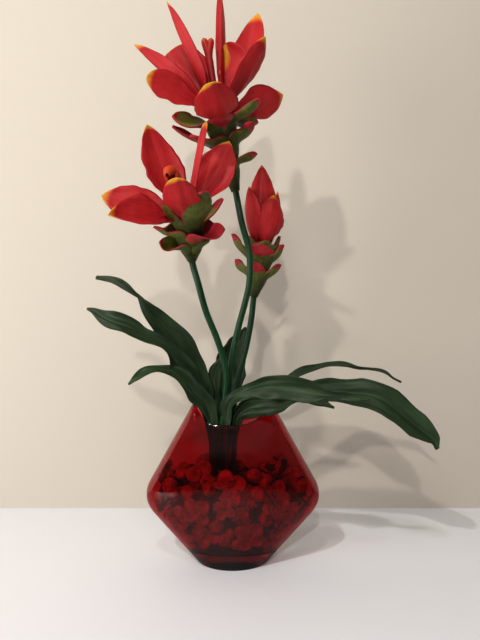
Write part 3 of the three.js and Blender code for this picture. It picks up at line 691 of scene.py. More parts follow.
# Bract whorls: lobes that sheathe the stem as a cup, from a height above the neck, and then part. A
# lobe's tip is a real point, roll turns it about its midline, rim is how much of its tip is red.
whorls = {
    "top": {
        "lower": {"at": -5, "height": 26, "mouth": 10.5, "flare": 1.1, "lobes": [
            {"tip": (25, -10, 424), "width": 21, "roll": -30, "rim": 0.25},
            {"tip": (-22, -6, 424), "width": 19}, {"tip": (-7, -27, 420), "width": 19},
            {"tip": (5, 20, 428), "width": 19}]},
        "middle": {"at": 17, "height": 24, "mouth": 14.5, "lobes": [
            {"tip": (21, -24, 451), "width": 24, "roll": -40, "rim": 0.3},
            {"tip": (-59, -36, 442), "width": 17, "roll": -30, "rim": 0.45},
            {"tip": (-40, -50, 428), "width": 22, "roll": -20, "rim": 0.3},
            {"tip": (-2, 18, 452), "width": 21}]},
        "upper": {"at": 38, "height": 21, "mouth": 16, "lobes": [
            {"tip": (26, -70, 455), "width": 13, "roll": -50},
            {"tip": (-57, -50, 447), "width": 25, "roll": -80},
            {"tip": (-9, -64, 442), "width": 30, "rim": 0.9},
            {"tip": (26, -8, 457), "width": 20, "roll": -40}, {"tip": (-8, 14, 470), "width": 21}]},
    },
    "left": {
        "lower": {"at": -2, "height": 16, "mouth": 12, "flare": 1.1, "lobes": [
            {"tip": (-70, -44, 328), "width": 23, "roll": -45},
            {"tip": (-22, -36, 334), "width": 18, "roll": -30}, {"tip": (-40, -6, 342), "width": 19}]},
        "middle": {"at": 9, "height": 18, "mouth": 15.5, "lobes": [
            {"tip": (-74, -55, 340), "width": 21, "roll": 20, "rim": 0.2},
            {"tip": (-7, -60, 337), "width": 27, "roll": 35, "rim": 0.95},
            {"tip": (-44, -14, 358), "width": 21}]},
        "upper": {"at": 22, "height": 16, "mouth": 15, "lobes": [
            {"tip": (-25, -96, 363), "width": 36, "rim": 0.03},
            {"tip": (-9, -50, 368), "width": 18, "rim": 0.35},
            {"tip": (-62, -78, 360), "width": 18}, {"tip": (-46, -22, 374), "width": 20}]},
    },
    "bud": {
        "lower": {"at": -4, "height": 22, "mouth": 12, "flare": 1.1, "lobes": [
            {"tip": (3, 18, 318), "width": 19, "roll": 30, "rim": 0.25},
            {"tip": (24, 0, 313), "width": 23, "rim": 0.55},
            {"tip": (51, 20, 313), "width": 18, "roll": -30, "rim": 0.25},
            {"tip": (26, 38, 314), "width": 20}]},
        "upper": {"at": 15, "height": 21, "mouth": 14, "lobes": [
            {"tip": (-1, 20, 346), "width": 17, "roll": 30, "rim": 0.25},
            {"tip": (29, -5, 331), "width": 34, "rim": 0.6},
            {"tip": (55, 20, 334), "width": 17, "roll": -30, "rim": 0.25},
            {"tip": (32, 42, 334), "width": 27}]},
        "inner": {"at": 33, "height": 12, "mouth": 14, "lobes": [
            {"tip": (16, 8, 342), "width": 19}, {"tip": (51, 24, 344), "width": 19}]},
    },
}

bractShape = {
    "thickness": 2.4, "foot": 0.7, "cup": 42,
    "overlap": 1.12, "wrap": 2.0,  # how far a lobe reaches past its neighbour, and its widest half angle
    "nest": 0.7,  # how far every other lobe lies outside its neighbours
    "swell": 2, "dent": 1.6, "point": 0.4,
    "rim": 0.1, "hem": 0.24, "hemRed": 0.85,  # the red along its edge
    "flare": 0.75,  # lower is a rounder bowl, 1 a cone
    "rows": 36, "columns": 14,
}
# the closed foot of the cup: width and height as shares of the cup's, thickness at the foot and at the
# lip, and how much higher it lies inside
funnelShape = {"width": 0.75, "height": 0.5, "foot": 0.6, "lip": 1.4, "rise": 0.5, "steps": 8, "around": 40}


def funnelSkin(frameOf, whorl):
    shape = funnelShape
    inner = core["radius"] + clearance
    outer, height = whorl["mouth"] * shape["width"], whorl["height"] * shape["height"]
    bottom = frameOf["neck"] + frameOf["up"] * max(whorl["at"], 0)
    flare = whorl.get("flare", bractShape["flare"])
    shares = [k / shape["steps"] for k in range(shape["steps"] + 1)]
    profile = [(mixed(inner + shape["foot"], outer, s ** flare), height * s) for s in shares]
    profile += [(mixed(inner, outer - shape["lip"], s ** flare), height * s + shape["rise"])
                for s in reversed(shares)]
    angles = evenAngles(shape["around"])
    outs = [turned(frameOf["front"], frameOf["right"], a) for a in angles]
    rings = [[bottom + out * across + frameOf["up"] * up for out in outs] for across, up in profile]
    grains = [[(across * a, up, underGrain) for a in angles] for across, up in profile]
    return skinOf(rings, grains=grains, joined=True)


def turnOf(frameOf, whorl, lobe):
    # the lobe's angle round the stem
    aim = Vector(lobe["tip"]) - frameOf["neck"] - frameOf["up"] * whorl["at"]
    return math.atan2(aim.dot(frameOf["right"]), aim.dot(frameOf["front"]))


def sectorOf(frameOf, whorl, number):
    # half of the wider gap to the next lobe, so that the cup closes all round
    turns = [turnOf(frameOf, whorl, lobe) for lobe in whorl["lobes"]]
    ahead = [(other - turns[number]) % (2 * math.pi) for other in turns if other != turns[number]]
    wider = max(min(ahead), 2 * math.pi - max(ahead))
    return min(wider / 2 * bractShape["overlap"], bractShape["wrap"])


def lobeSkin(frameOf, whorl, lobe, number):
    shape = bractShape
    sector = sectorOf(frameOf, whorl, number)
    bottom = frameOf["neck"] + frameOf["up"] * whorl["at"]
    tip = Vector(lobe["tip"])
    out = flatTo(tip - bottom, frameOf["up"])
    nest = shape["nest"] * (number % 2)
    carrier = core["stem"] if whorl["at"] < 0 else core["radius"]
    low = carrier + clearance + shape["foot"] / 2 + nest / 2
    mouth = whorl["mouth"] - shape["thickness"] / 2 + nest

    def cupRadius(share):
        return mixed(low, mouth, share ** whorl.get("flare", shape["flare"]))

    def onCup(share):
        across = cupRadius(share)
        return bottom + frameOf["up"] * (whorl["height"] * share) + out * across

    rest = tip - onCup(1)
    swell = (frameOf["up"] * -0.5 + out).normalized() * shape["swell"]
    path = [onCup(0), onCup(0.35), onCup(0.7), onCup(1), onCup(1) + rest * 0.5 + swell, tip]
    points, length, shares = splinePoints(path, shape["rows"])
    mouthShare = shares[3]
    free = mouthShare * 0.7        # from here on a lobe can turn
    roll = lobe.get("roll", 0)
    frames = framesAlong(points, -out, lambda s: roll * eased((s - free) / (1 - free)))

    def half(s):
        share = min(s / mouthShare, 1)
        cupped = cupRadius(share) * sector
        past = max(s - mouthShare, 0) / (1 - mouthShare)
        wide = mixed(cupped, lobe["width"] / 2, eased(past * 2.2))
        return max(wide * max(1 - past ** 3.2, 0) ** 0.55, shape["point"])

    def cup(s):
        return mixed(math.degrees(sector), shape["cup"], eased((s - mouthShare * 0.8) / (1 - mouthShare)))

    def tint(s, x):
        reach = lobe.get("rim", shape["rim"]) * (1 - mouthShare)
        hem = eased((abs(x) - 1) / shape["hem"] + 1) * eased((s - mouthShare * 0.5) / mouthShare)
        return max(eased((s - 1 + reach * 1.6) / reach), shape["hemRed"] * hem)

    def lift(s, x):
        return lumps(s * 4, x * 1.4, number * 7 + whorl["at"]) * shape["dent"] * eased((s - mouthShare) * 3)

    return bladeSkin(frames, shape["columns"], {
        "half": half,
        "cup": cup,
        "lift": lift,
        "thick": lambda s: mixed(shape["foot"], shape["thickness"], eased(s / mouthShare * 1.2)),
        "tint": tint,
    }, length)


for head, group in whorls.items():
    for place, whorl in group.items():
        skins = [funnelSkin(headFrames[head], whorl)]
        skins += [lobeSkin(headFrames[head], whorl, lobe, k) for k, lobe in enumerate(whorl["lobes"])]
        node = f"{head}_bracts_{place}"
        addPiece(camelName(node), skins, bractFoam, [node])
print("bracts made")


# Stems, from the cut end in the filling up to the neck
stemPaths = {
    "top": [(-14, 0, 17), (-11, 0, 94), (-6, -3, 155), (-3, -5, 195), (1, -6, 222), (5, -7, 241),
            (13, -8, 271), (17, -8, 290), (17, -8, 322), (9, -8, 354)],
    "left": [(-22, -7, 18), (-18, -9, 97), (-9, -11, 162), (-7, -12, 196), (-10, -13, 214),
             (-16, -16, 233), (-27, -21, 261), (-34, -24, 287)],
    "bud": [(-5, 8, 17), (-8, 8, 92), (-1, 8, 146), (4, 9, 180), (10, 11, 207), (15, 14, 227), (20, 17, 255)],
}

stemRows, stemSides = 150, 20
for head, path in stemPaths.items():
    place = headFrames[head]
    ends = [place["neck"], place["centre"], place["centre"] + place["up"] * core["above"]]
    points = splinePoints([*path, *ends], stemRows)[0]
    heights = [(p - place["neck"]).dot(place["up"]) for p in points]
    start = next(i for i, height in enumerate(heights) if height > -core["below"])
    skin = rodSkin(points, lambda s: mixed(core["stem"], core["radius"], eased((s * stemRows - start) / 2)),
                   stemSides)
    addPiece(camelName(f"{head}_stem"), [skin], stemPlastic, [f"{head}_stem"])
print("stems made")


# Stamens: the top flower's is forked, with two limbs from one foot, and the left one's is hooded. Cap is
# how much of the hood is orange.
stamenSeat = core["above"] + 0.7        # how far above the centre the stamens start
fork = {
    "limb": [(-21, -27, 500), (-23.5, -27, 515)], "tips": [(-29, -28, 533), (-21, -28, 533)],
    "radius": (2.2, 2.6, 3.0, 3.4, 3.5, 3.5, 3.8, 3.4),
    "round": 0.07,  # the share of a limb that its rounded end takes
    "rows": 40, "sides": 16,
}
hood = {
    "spine": [(-51, -76, 380), (-55, -93, 386), (-56, -100, 378)], "face": (0, -1, -0.6), "length": 40,
    "half": (6, 8, 11, 15, 17, 17, 14, 5), "cup": (165, 160, 155, 150, 150, 150),
    "thickness": 1.6, "cap": 0.8, "rows": 48, "columns": 20,
}


def stamenFoot(head):
    return headFrames[head]["centre"] + headFrames[head]["up"] * stamenSeat


def limbRadius(s):
    end = max((s - 1) / fork["round"] + 1, 0)
    return softSpread(fork["radius"], s) * math.sqrt(max(1 - end ** 2, 0.02))


limbs = []
for tip in fork["tips"]:
    points = splinePoints([stamenFoot("top"), *fork["limb"], tip], fork["rows"])[0]
    limbs.append(rodSkin(points, limbRadius, fork["sides"]))
addPiece("topStamen", limbs, stamenFoam, ["top_stamen"])

points = splinePoints([stamenFoot("left"), *hood["spine"]], hood["rows"])[0]
hoodSkin = bladeSkin(framesAlong(points, Vector(hood["face"]), lambda s: 0), hood["columns"], {
    "half": lambda s: softSpread(hood["half"], s),
    "cup": lambda s: softSpread(hood["cup"], s),
    "lift": lambda s, x: lumps(s * 4, x * 2, 3),
    "thick": lambda s: hood["thickness"],
    "tint": lambda s, x: hood["cap"],
}, hood["length"])
addPiece("leftStamen", [hoodSkin], stamenFoam, ["left_stamen"])
print("stamens made")


# Leaves, from the cut end of the petiole to the tip. Each place on the spine has its own full width and
# twist. Face is the way that the upper side looks at the start, fold creases the blade, and waves are the
# height, count and offset of the wavy edge.
leaves = {
    "upper_left": {"face": (0.5, -0.7, 0.6), "fold": 0.2, "waves": (2.0, 5, 0.2), "spine": [
        ((-21, 5, 66), 4, 0), ((-21, 3, 120), 6, 0), ((-23, -1, 152), 10, 0), ((-30, -6, 174), 20, 0),
        ((-39, -10, 198), 27, 0), ((-52, -15, 222), 30, -10), ((-65, -20, 241), 26, -10),
        ((-78, -24, 257), 19, -20), ((-90, -30, 274), 13, -90), ((-105, -34, 286), 15, -160),
        ((-119, -35, 293), 12, -170), ((-134, -34, 294), 4, -150)]},
    "middle_left": {"face": (0.4, -0.7, 0.6), "fold": 0.2, "waves": (2.6, 6, 0.0), "spine": [
        ((-26, -3, 66), 4, 0), ((-22, -4, 120), 6, 0), ((-25, -9, 151), 12, 0), ((-31, -13, 170), 15, 0),
        ((-41, -20, 189), 22, 0), ((-52, -28, 206), 25, 0), ((-63, -36, 221), 21, 30),
        ((-74, -41, 231), 14, 60), ((-87, -44, 238), 18, 20), ((-103, -46, 247), 21, 10),
        ((-117, -46, 253), 18, 10), ((-131, -43, 260), 10, 10), ((-141, -40, 263), 1, 0)]},
    "lower_left": {"face": (0.3, -0.8, 0.5), "fold": 0.2, "waves": (1.8, 4, 0.4), "spine": [
        ((-22, -13, 66), 4, 0), ((-19, -16, 120), 7, 0), ((-20, -14, 151), 12, 0), ((-26, -19, 166), 18, 0),
        ((-36, -26, 180), 21, 0), ((-46, -32, 191), 18, 10), ((-55, -37, 198), 14, 40),
        ((-63, -41, 202), 13, 60), ((-74, -44, 204), 12, 50), ((-83, -46, 202), 11, 40),
        ((-92, -46, 197), 8, 30), ((-100, -44, 190), 1, 20)]},
    "short": {"face": (-0.3, -1, 0), "fold": 0.15, "waves": (0.5, 3, 0.0), "spine": [
        ((-14, 8, 68), 4, 0), ((-14, 7, 120), 4, 0), ((-15, 3, 150), 9, 0), ((-18, 0, 168), 14, 0),
        ((-19, -2, 185), 16, 0), ((-17, -3, 202), 14, 0), ((-11, -4, 213), 2, 0)]},
    "back": {"face": (0, -1, 0), "fold": 0.15, "waves": (1.0, 3, 0.5), "spine": [
        ((-7, 15, 66), 4, 0), ((-7, 14, 120), 4, 0), ((-5, 18, 149), 14, 0), ((-5, 22, 170), 29, 0),
        ((-4, 26, 191), 36, 0), ((-1, 28, 212), 33, 0), ((6, 28, 230), 20, 0), ((14, 27, 244), 1, 0)]},
    "upper_right": {"face": (-0.6, -0.2, 1), "fold": 0.2, "waves": (1.0, 6, 0.3), "spine": [
        ((1, 12, 66), 4, 0), ((1, 12, 120), 4, 0), ((6, 13, 150), 6, 0), ((18, 19, 167), 12, 0),
        ((36, 27, 177), 15, 0), ((58, 34, 184), 16, 10), ((75, 39, 191), 16, 20), ((96, 43, 196), 16, 20),
        ((112, 45, 200), 16, 20), ((127, 46, 200), 14, 10), ((141, 46, 197), 11, 0), ((155, 45, 196), 11, 10),
        ((172, 43, 192), 10, 10), ((181, 41, 186), 7, 10), ((189, 39, 182), 1, 0)]},
    "long_right": {"face": (-0.6, -0.4, 0.8), "fold": 0.12, "waves": (2.0, 5, 0.1), "spine": [
        ((0, 3, 66), 4, 0), ((2, 4, 120), 6, 0), ((5, 3, 150), 9, 0), ((14, 3, 165), 12, 0),
        ((31, 4, 173), 17, 0), ((55, 4, 176), 20, 10), ((82, 2, 175), 24, 20), ((107, 0, 175), 29, 25),
        ((125, -2, 175), 32, 30), ((140, -5, 173), 33, 30), ((157, -9, 166), 33, 30),
        ((174, -12, 155), 33, 30), ((188, -15, 144), 30, 30), ((198, -17, 135), 24, 30),
        ((204, -17, 129), 12, 30), ((208, -18, 121), 2, 30)]},
    "front_right": {"face": (-0.6, -0.6, 0.6), "fold": 0.15, "waves": (2.8, 6, 0.6), "spine": [
        ((-8, -15, 66), 4, 0), ((-5, -14, 120), 8, 0), ((-6, -15, 150), 13, 0), ((-2, -20, 166), 15, 0),
        ((7, -26, 177), 15, 0), ((19, -33, 184), 16, 10), ((35, -41, 187), 24, 20), ((55, -49, 187), 28, 20),
        ((74, -55, 185), 23, 10), ((88, -59, 183), 12, 40), ((105, -61, 181), 9, 20), ((117, -62, 179), 7, 0),
        ((128, -62, 178), 1, 0)]},
    "small_right": {"face": (-0.6, -0.3, 1), "fold": 0.2, "waves": (0.8, 4, 0.0), "spine": [
        ((0, -5, 66), 4, 0), ((0, -5, 120), 4, 0), ((5, -6, 152), 12, 0), ((20, -12, 167), 19, 0),
        ((38, -20, 171), 19, 0), ((57, -27, 173), 15, 0), ((77, -31, 172), 13, 0), ((89, -34, 170), 10, 0),
        ((100, -36, 166), 1, 0)]},
    "under_right": {"face": (0.4, 0.6, -0.6), "fold": 0.2, "waves": (0.8, 3, 0.3), "spine": [
        ((2, -12, 68), 4, 0), ((1, -11, 120), 7, 0), ((4, -14, 154), 14, 0), ((16, -22, 163), 23, 0),
        ((29, -30, 167), 24, 0), ((43, -37, 169), 18, 0), ((54, -41, 172), 9, 0), ((63, -44, 174), 1, 0)]},
}

leafShape = {
    "thickness": 0.8, "petiole": 2.4, "cup": 22, "rib": 0.5, "ribWidth": 1.1,
    "open": 9,  # how much wider than its petiole it is where the blade has opened
    "kink": 0.2,  # how deep the kinks in its edges are, as a share of the half width
    "dents": (1.6, 0.9),  # depth of the broad and of the small dents
    "stray": 3,  # how far the blade wanders sideways
    "softWidth": 0.025, "softTwist": 0.04,  # shares of the length over which these blend
    "rows": 120, "columns": 22,
}


def leafSkin(leaf, seed):
    shape = leafShape
    places, widths, twists = zip(*leaf["spine"])
    points, length, shares = splinePoints(places, shape["rows"])
    height, count, offset = leaf["waves"]
    broad, small = shape["dents"]

    def twist(s):
        return softBetween(shares, twists, s, shape["softTwist"])

    def width(s):
        return softBetween(shares, widths, s, shape["softWidth"])

    def openness(s):
        # 0 on the stalk, 1 where the blade has opened
        return eased((width(s) - widths[0]) / shape["open"])

    frames = [(s, at + side * lumps(s * 8, 0.5, seed + 3) * shape["stray"] * openness(s), side, face)
              for s, at, side, face in framesAlong(points, Vector(leaf["face"]), twist)]

    def lift(s, x):
        half = width(s) / 2
        crease = leaf["fold"] * openness(s) * math.hypot(x, 0.06) * half
        rib = -shape["rib"] * math.exp(-(x * half / shape["ribWidth"]) ** 2) * openness(s)
        phase = 2 * math.pi * (count * s + offset) + (math.pi * 0.6 if x > 0 else 0)
        wave = height * math.sin(phase) * x * x * openness(s)
        dents = lumps(s * 9, x * 2, seed) * broad + lumps(s * 4, x * 4, seed + 9) * small
        return crease + rib + wave + dents * openness(s)

    return bladeSkin(frames, shape["columns"], {
        "half": lambda s: width(s) / 2,
        "cup": lambda s: shape["cup"],
        "lift": lift,
        "thick": lambda s: mixed(shape["petiole"], shape["thickness"], openness(s)),
        "tint": lambda s, x: 0.0,
        "ragged": lambda s, x: -shape["kink"] * abs(lumps(s * 10, 3 if x > 0 else 8, seed)) * abs(x),
    }, length)


for number, (place, leaf) in enumerate(leaves.items()):
    node = f"leaf_{place}"
    addPiece(camelName(node), [leafSkin(leaf, 5 * number)], leafCloth, [node])
print("leaves made")


# Vase: seen from the front it is an outline of half widths, seen from the side one of half depths
vase = {
    "height": 168, "mouth": 40, "foot": 36, "footRound": 3, "flank": (82, 51), "shoulder": (86.4, 85),
    "bellyPulls": ((92.4, 62), (92.6, 74)),
    "depth": ((24, 0), (34, 45), (37, 72), (34, 100), (22, 168)),
    "saddle": 144, "neckStart": 105,  # how low the rim dips at front and back, and where that starts
    "saddlePower": (4.5, 2.8),  # how square the dip is to the left and to the right
    "wall": 4.5, "floor": 14, "floorRound": 5,
    "lip": 0.35,  # how high the rim is rounded, as a share of the wall
    "wineTo": 13,  # how high the darker ruby of the foot goes
    "around": 128,
}


def straight(a, b, count):
    # count points on the way from a to b, without a
    return [tuple(mixed(p, q, k / count) for p, q in zip(a, b)) for k in range(1, count + 1)]


def curved(a, b, c, d, count):
    # the same on a curve that b and c pull
    line = []
    for k in range(1, count + 1):
        t = k / count
        r = 1 - t
        line.append(tuple(r ** 3 * p + 3 * r * r * t * q + 3 * r * t * t * u + t ** 3 * w
                          for p, q, u, w in zip(a, b, c, d)))
    return line


def vaseOutline():
    # (half width, height) up the outside
    foot, soft = vase["foot"], vase["footRound"]
    flat, start = (foot - soft, 0.0), (foot + soft * 0.7, soft)
    return [flat, *curved(flat, (foot - 1, 0), (foot, 0.6), start, 6), *straight(start, vase["flank"], 8),
            *curved(vase["flank"], *vase["bellyPulls"], vase["shoulder"], 16),
            *straight(vase["shoulder"], (vase["mouth"], vase["height"]), 14)]


outline = vaseOutline()
depthKnots = [(across, 0, height) for across, height in vase["depth"]]
depthLine = [(p.x, p.z) for p in splinePoints(depthKnots, 60)[0]]


def acrossAt(line, height):
    for (a, low), (b, high) in zip(line, line[1:]):
        if high >= height:
            return mixed(a, b, max((height - low) / max(high - low, 1e-9), 0))
    return line[-1][0]


def onVase(height, inset, share, angle):
    # a point at an inset from the outer surface; share runs from 1 at the wall to 0 in the middle
    half = max(acrossAt(outline, height) - inset, 0.1)
    deep = max(acrossAt(depthLine, height) - inset, 0.1)
    x, y = half * share * math.cos(angle), deep * share * math.sin(angle)
    power = vase["saddlePower"][0 if x < 0 else 1]
    rim = mixed(vase["saddle"], vase["height"], min(abs(x) / vase["mouth"], 1) ** power)
    fade = eased((height - vase["neckStart"]) / (vase["height"] - vase["neckStart"]))
    return Vector((x, y, height * (1 + fade * (rim / vase["height"] - 1))))


def vaseSkin(profile, around):
    # profile is a list of (height, inset, share)
    return skinOf([[onVase(*place, angle) for angle in evenAngles(around)] for place in profile])


quarterTurn = [math.pi / 2 * k / 6 for k in range(7)]        # the angles round a soft corner


def vaseProfile():
    wall, top, floor, soft = vase["wall"], vase["height"], vase["floor"], vase["floorRound"]
    outer = [(0.0, 0.0, share) for share in (0.02, 0.4, 0.8)]
    outer += [(height, 0.0, 1.0) for _, height in outline]
    turns = [math.pi * k / 6 for k in range(1, 6)]
    lip = [(top + wall * vase["lip"] * math.sin(a), wall * (1 - math.cos(a)) / 2, 1.0) for a in turns]
    inner = [(height, wall, 1.0) for _, height in reversed(outline) if height > floor + soft]
    inner += [(floor + soft * (1 - math.sin(a)), wall, mixed(0.86, 1, math.cos(a))) for a in quarterTurn]
    inner += [(float(floor), wall, share) for share in (0.6, 0.3, 0.02)]
    return outer, lip, inner


outerProfile, lipProfile, innerProfile = vaseProfile()
vasePiece = addPiece("vase", [vaseSkin(outerProfile + lipProfile + innerProfile, vase["around"])],
                     glass["rubyGlass"], ["vase"])
vasePiece.data.materials.append(glass["clearGlass"])
vasePiece.data.materials.append(glass["wineGlass"])
innerFrom = len(outerProfile) + len(lipProfile) - 1
for face in vasePiece.data.polygons:
    # the ruby lies on the outside only, and it is wine red round the foot
    foot = max(vasePiece.data.vertices[v].co.z for v in face.vertices) < vase["wineTo"] * mm
    face.material_index = 1 if face.index // vase["around"] >= innerFrom else 2 if foot else 0
print("vase made")


# Filling: a bed of crumbs, with blossoms, berries and twigs against the glass and on top. Set back is how
# far behind the glass a blossom or berry lies.
bed = {
    "top": 84, "crown": 6, "inset": 7, "heights": (18, 24, 32, 42, 51, 60, 68, 74, 79),
    "crumb": 6, "lump": 2.4,  # size of its crumbs, and how deep the hollows between them are
    "swell": 17, "heave": 11,  # size of the swells on its top, and how uneven they make it
    "heaveFrom": 58, "heaveOver": 18, "middle": 45, "around": 96,
}
blossom = {"thickness": 0.9, "cup": 30, "dent": 1.2, "setBack": 1.4, "rows": 8, "columns": 8}
berry = {"radius": 7.6, "setBack": 0.4, "squash": 0.94, "dimple": 0.12, "rows": 12}


def hollowAt(height):
    # half the width and half the depth of the vase's hollow
    return [acrossAt(line, height) - vase["wall"] - clearance for line in (outline, depthLine)]


def insideGlass(x, z, back, depth):
    # the place just inside the glass at an across and a height, and the way out through the glass
    step = 4
    half, reach = hollowAt(z)
    y = (1 if back else -1) * reach * math.sqrt(max(1 - (x / half) ** 2, 0.001))
    slope = (acrossAt(depthLine, z + step) - acrossAt(depthLine, z - step)) / (2 * step)
    out = Vector((x / half ** 2, y / reach ** 2, 0)).normalized()
    out = Vector((out.x, out.y, -slope)).normalized()
    return Vector((x, y, z)) - out * depth, out


def blossomSkins(at, out, size, spin, chance):
    # four round, cupped petals that overlap at the eye
    right = flatTo(Vector((chance.uniform(-0.2, 0.2), 0, 1)).cross(out), out)
    up = out.cross(right)
    skins, rows = [], blossom["rows"]
    for k in range(4):
        angle = spin + math.pi / 2 * k + chance.uniform(-0.14, 0.14)
        away, side = turned(right, up, angle), turned(right, up, angle + math.pi / 2)
        droop = chance.uniform(0.1, 0.4) * size * 0.3
        length = size * chance.uniform(0.9, 1.08)
        width = size * chance.uniform(0.92, 1.1)
        grow = chance.uniform(0, 30)
        step = 0.8 * (k % 2)
        frames = []
        for row in range(rows + 1):
            s = row / rows
            drop = blossom["thickness"] + droop * math.sin(s * 2.2) - step
            frames.append((s, at + away * mixed(1, length, s) - out * drop, side, out))
        skins.append(bladeSkin(frames, blossom["columns"], {
            "half": lambda s: max(width / 2 * math.sin(math.pi * min(0.1 + s * 0.88, 0.985)) ** 0.5, 0.6),
            "cup": lambda s: blossom["cup"],
            "lift": lambda s, x: lumps(s * 3, x * 2, grow) * blossom["dent"],
            "thick": lambda s: blossom["thickness"],
            "tint": lambda s, x: 0.0,
        }, length))
    return skins


def berrySkin(at, out, radius, sides):
    # a round berry with a dimple at its eye
    rows = berry["rows"]
    lateral = flatTo(Vector((0.3, 0.2, 1)), out)
    other = out.cross(lateral)
    rings = []
    for row in range(rows + 1):
        angle = math.pi * mixed(0.03, 0.97, row / rows)
        up = -math.cos(angle) * radius * berry["squash"] - max(row - rows + 3, 0) * radius * berry["dimple"]
        across = math.sin(angle) * radius
        rings.append([at + out * up + turned(lateral, other, a) * across for a in evenAngles(sides)])
    return skinOf(rings)


def keptInside(skins):
    # nothing of the filling goes into the glass
    for skin in skins:
        for ring in skin["rings"]:
            for p in ring:
                p.z = max(p.z, vase["floor"] + 2 * clearance)
                half, deep = hollowAt(p.z)
                share = math.hypot(p.x / half, p.y / deep)
                if share > 1:
                    p.x, p.y = p.x / share, p.y / share
    return skins


# where they lie: across, height and, for a blossom, its size
blossomPlaces = {"front": [(-36, 60, 16), (18, 36, 17), (-8, 64, 12), (54, 60, 14)],
                 "back": [(-22, 44, 15), (30, 58, 15)]}
berryPlaces = {"front": [(26, 78), (-46, 78), (-17, 44)], "back": [(8, 70), (52, 66)]}
chance = random.Random(11)
taken = []
for side in ("front", "back"):
    for k, (x, z, size) in enumerate(blossomPlaces[side]):
        at, out = insideGlass(x, z, side == "back", blossom["setBack"])
        node = f"blossom_{side}_{k + 1}"
        skins = blossomSkins(at, out, size, chance.uniform(0, 1.5), chance)
        addPiece(camelName(node), keptInside(skins), dried["driedBlossom"], [node])
        taken.append((at, size))
    for k, (x, z) in enumerate(berryPlaces[side]):
        at, out = insideGlass(x, z, side == "back", berry["radius"] + berry["setBack"])
        node = f"berry_{side}_{k + 1}"
        skins = [berrySkin(at, out, berry["radius"], 24)]
        addPiece(camelName(node), keptInside(skins), dried["driedBerry"], [node])
        taken.append((at, berry["radius"]))

bedIn = vase["wall"] + bed["inset"]
bedProfile = [(vase["floor"] + clearance, bedIn, share) for share in (0.02, 0.4, 0.8)]
bedProfile += [(height, bedIn, 1.0) for height in bed["heights"]]
bedProfile += [(bed["top"] + bed["crown"] * math.sin(a), bedIn, max(math.cos(a), 0.02))
               for a in quarterTurn]
bedSkin = vaseSkin(bedProfile, bed["around"])
for ring in bedSkin["rings"]:
    for k, p in enumerate(ring):
        inward = Vector((-p.x, -p.y * 2, bed["middle"] - p.z)).normalized()
        heave = noise.noise(p / bed["swell"]) * eased((p.z - bed["heaveFrom"]) / bed["heaveOver"])
        sunk = inward * bed["lump"] * (1 + noise.noise(p / bed["crumb"]))
        ring[k] = p + sunk + Vector((0, 0, bed["heave"] * heave))


def freeSpot(at, radius, keep):
    return all((at - other).length > (radius + size) * keep for other, size in taken)


def jolted(out, much):
    return (out + Vector([chance.uniform(-much, much) for _ in range(3)])).normalized()


# the loose pieces: how many places are tried and at which heights, the most of each kind and their sizes
mix = {
    "largeBerryTries": 34, "largeBerryHeight": (30, 88), "tries": 2600, "height": (22, 96),
    "kinds": (0.4, 0.85),  # a try below the first is a blossom, and one below the second a berry
    "blossoms": 42, "berries": 70, "twigs": 40, "husks": 22,
    "largeBerrySize": (6.5, 8.5), "berrySize": (5, 8), "blossomSize": (14.5, 18.5), "huskSize": (11, 15),
    "twigLength": (7, 16), "twigSize": (0.6, 1.3),
}
loose = {"blossoms": [], "berries": [], "twigs": []}
for _ in range(mix["largeBerryTries"]):
    # larger berries that press against the glass
    z = chance.uniform(*mix["largeBerryHeight"])
    x = (acrossAt(outline, z) - vase["wall"] - 6) * math.sin(chance.uniform(-1.3, 1.3))
    size = chance.uniform(*mix["largeBerrySize"])
    at, out = insideGlass(x, z, chance.random() < 0.5, size + berry["setBack"])
    if freeSpot(at, size, 0.9):
        loose["berries"].append(berrySkin(at, jolted(out, 0.8), size, 20))
        taken.append((at, size))
for _ in range(mix["tries"]):
    z = chance.uniform(*mix["height"])
    half = acrossAt(outline, z) - vase["wall"] - 4
    x = half * math.sin(chance.uniform(-1.45, 1.45))
    back = chance.random() < 0.5
    kind = chance.random()
    # a blossom is four skins
    if kind < mix["kinds"][0] and len(loose["blossoms"]) < 4 * mix["blossoms"]:
        size = chance.uniform(*mix["blossomSize"])
        at, out = insideGlass(x, z, back, blossom["setBack"] + chance.uniform(0.4, 4))
        if freeSpot(at, size, 0.6):
            spin = chance.uniform(0, 1.5)
            loose["blossoms"] += blossomSkins(at - out * size * 0.15, jolted(out, 0.45), size, spin, chance)
            taken.append((at, size))
    elif kind < mix["kinds"][1] and len(loose["berries"]) < mix["berries"]:
        size = chance.uniform(*mix["berrySize"])
        at, out = insideGlass(x, z, back, size + chance.uniform(0.4, 2))
        if freeSpot(at, size, 0.85):
            loose["berries"].append(berrySkin(at, jolted(out, 0.8), size, 16))
            taken.append((at, size))
    elif len(loose["twigs"]) < mix["twigs"]:
        at, out = insideGlass(x, z, back, chance.uniform(2.5, 4))
        along = flatTo(jolted(Vector((0, 0, 0)), 1), out) * chance.uniform(*mix["twigLength"])
        bend = out * -chance.uniform(1, 4)
        thick = chance.uniform(*mix["twigSize"])
        points = splinePoints([at - along + bend * 1.6, at, at + along + bend * 1.6], 10)[0]
        loose["twigs"].append(rodSkin(points, lambda s: thick * mixed(1, 0.6, s), 8))

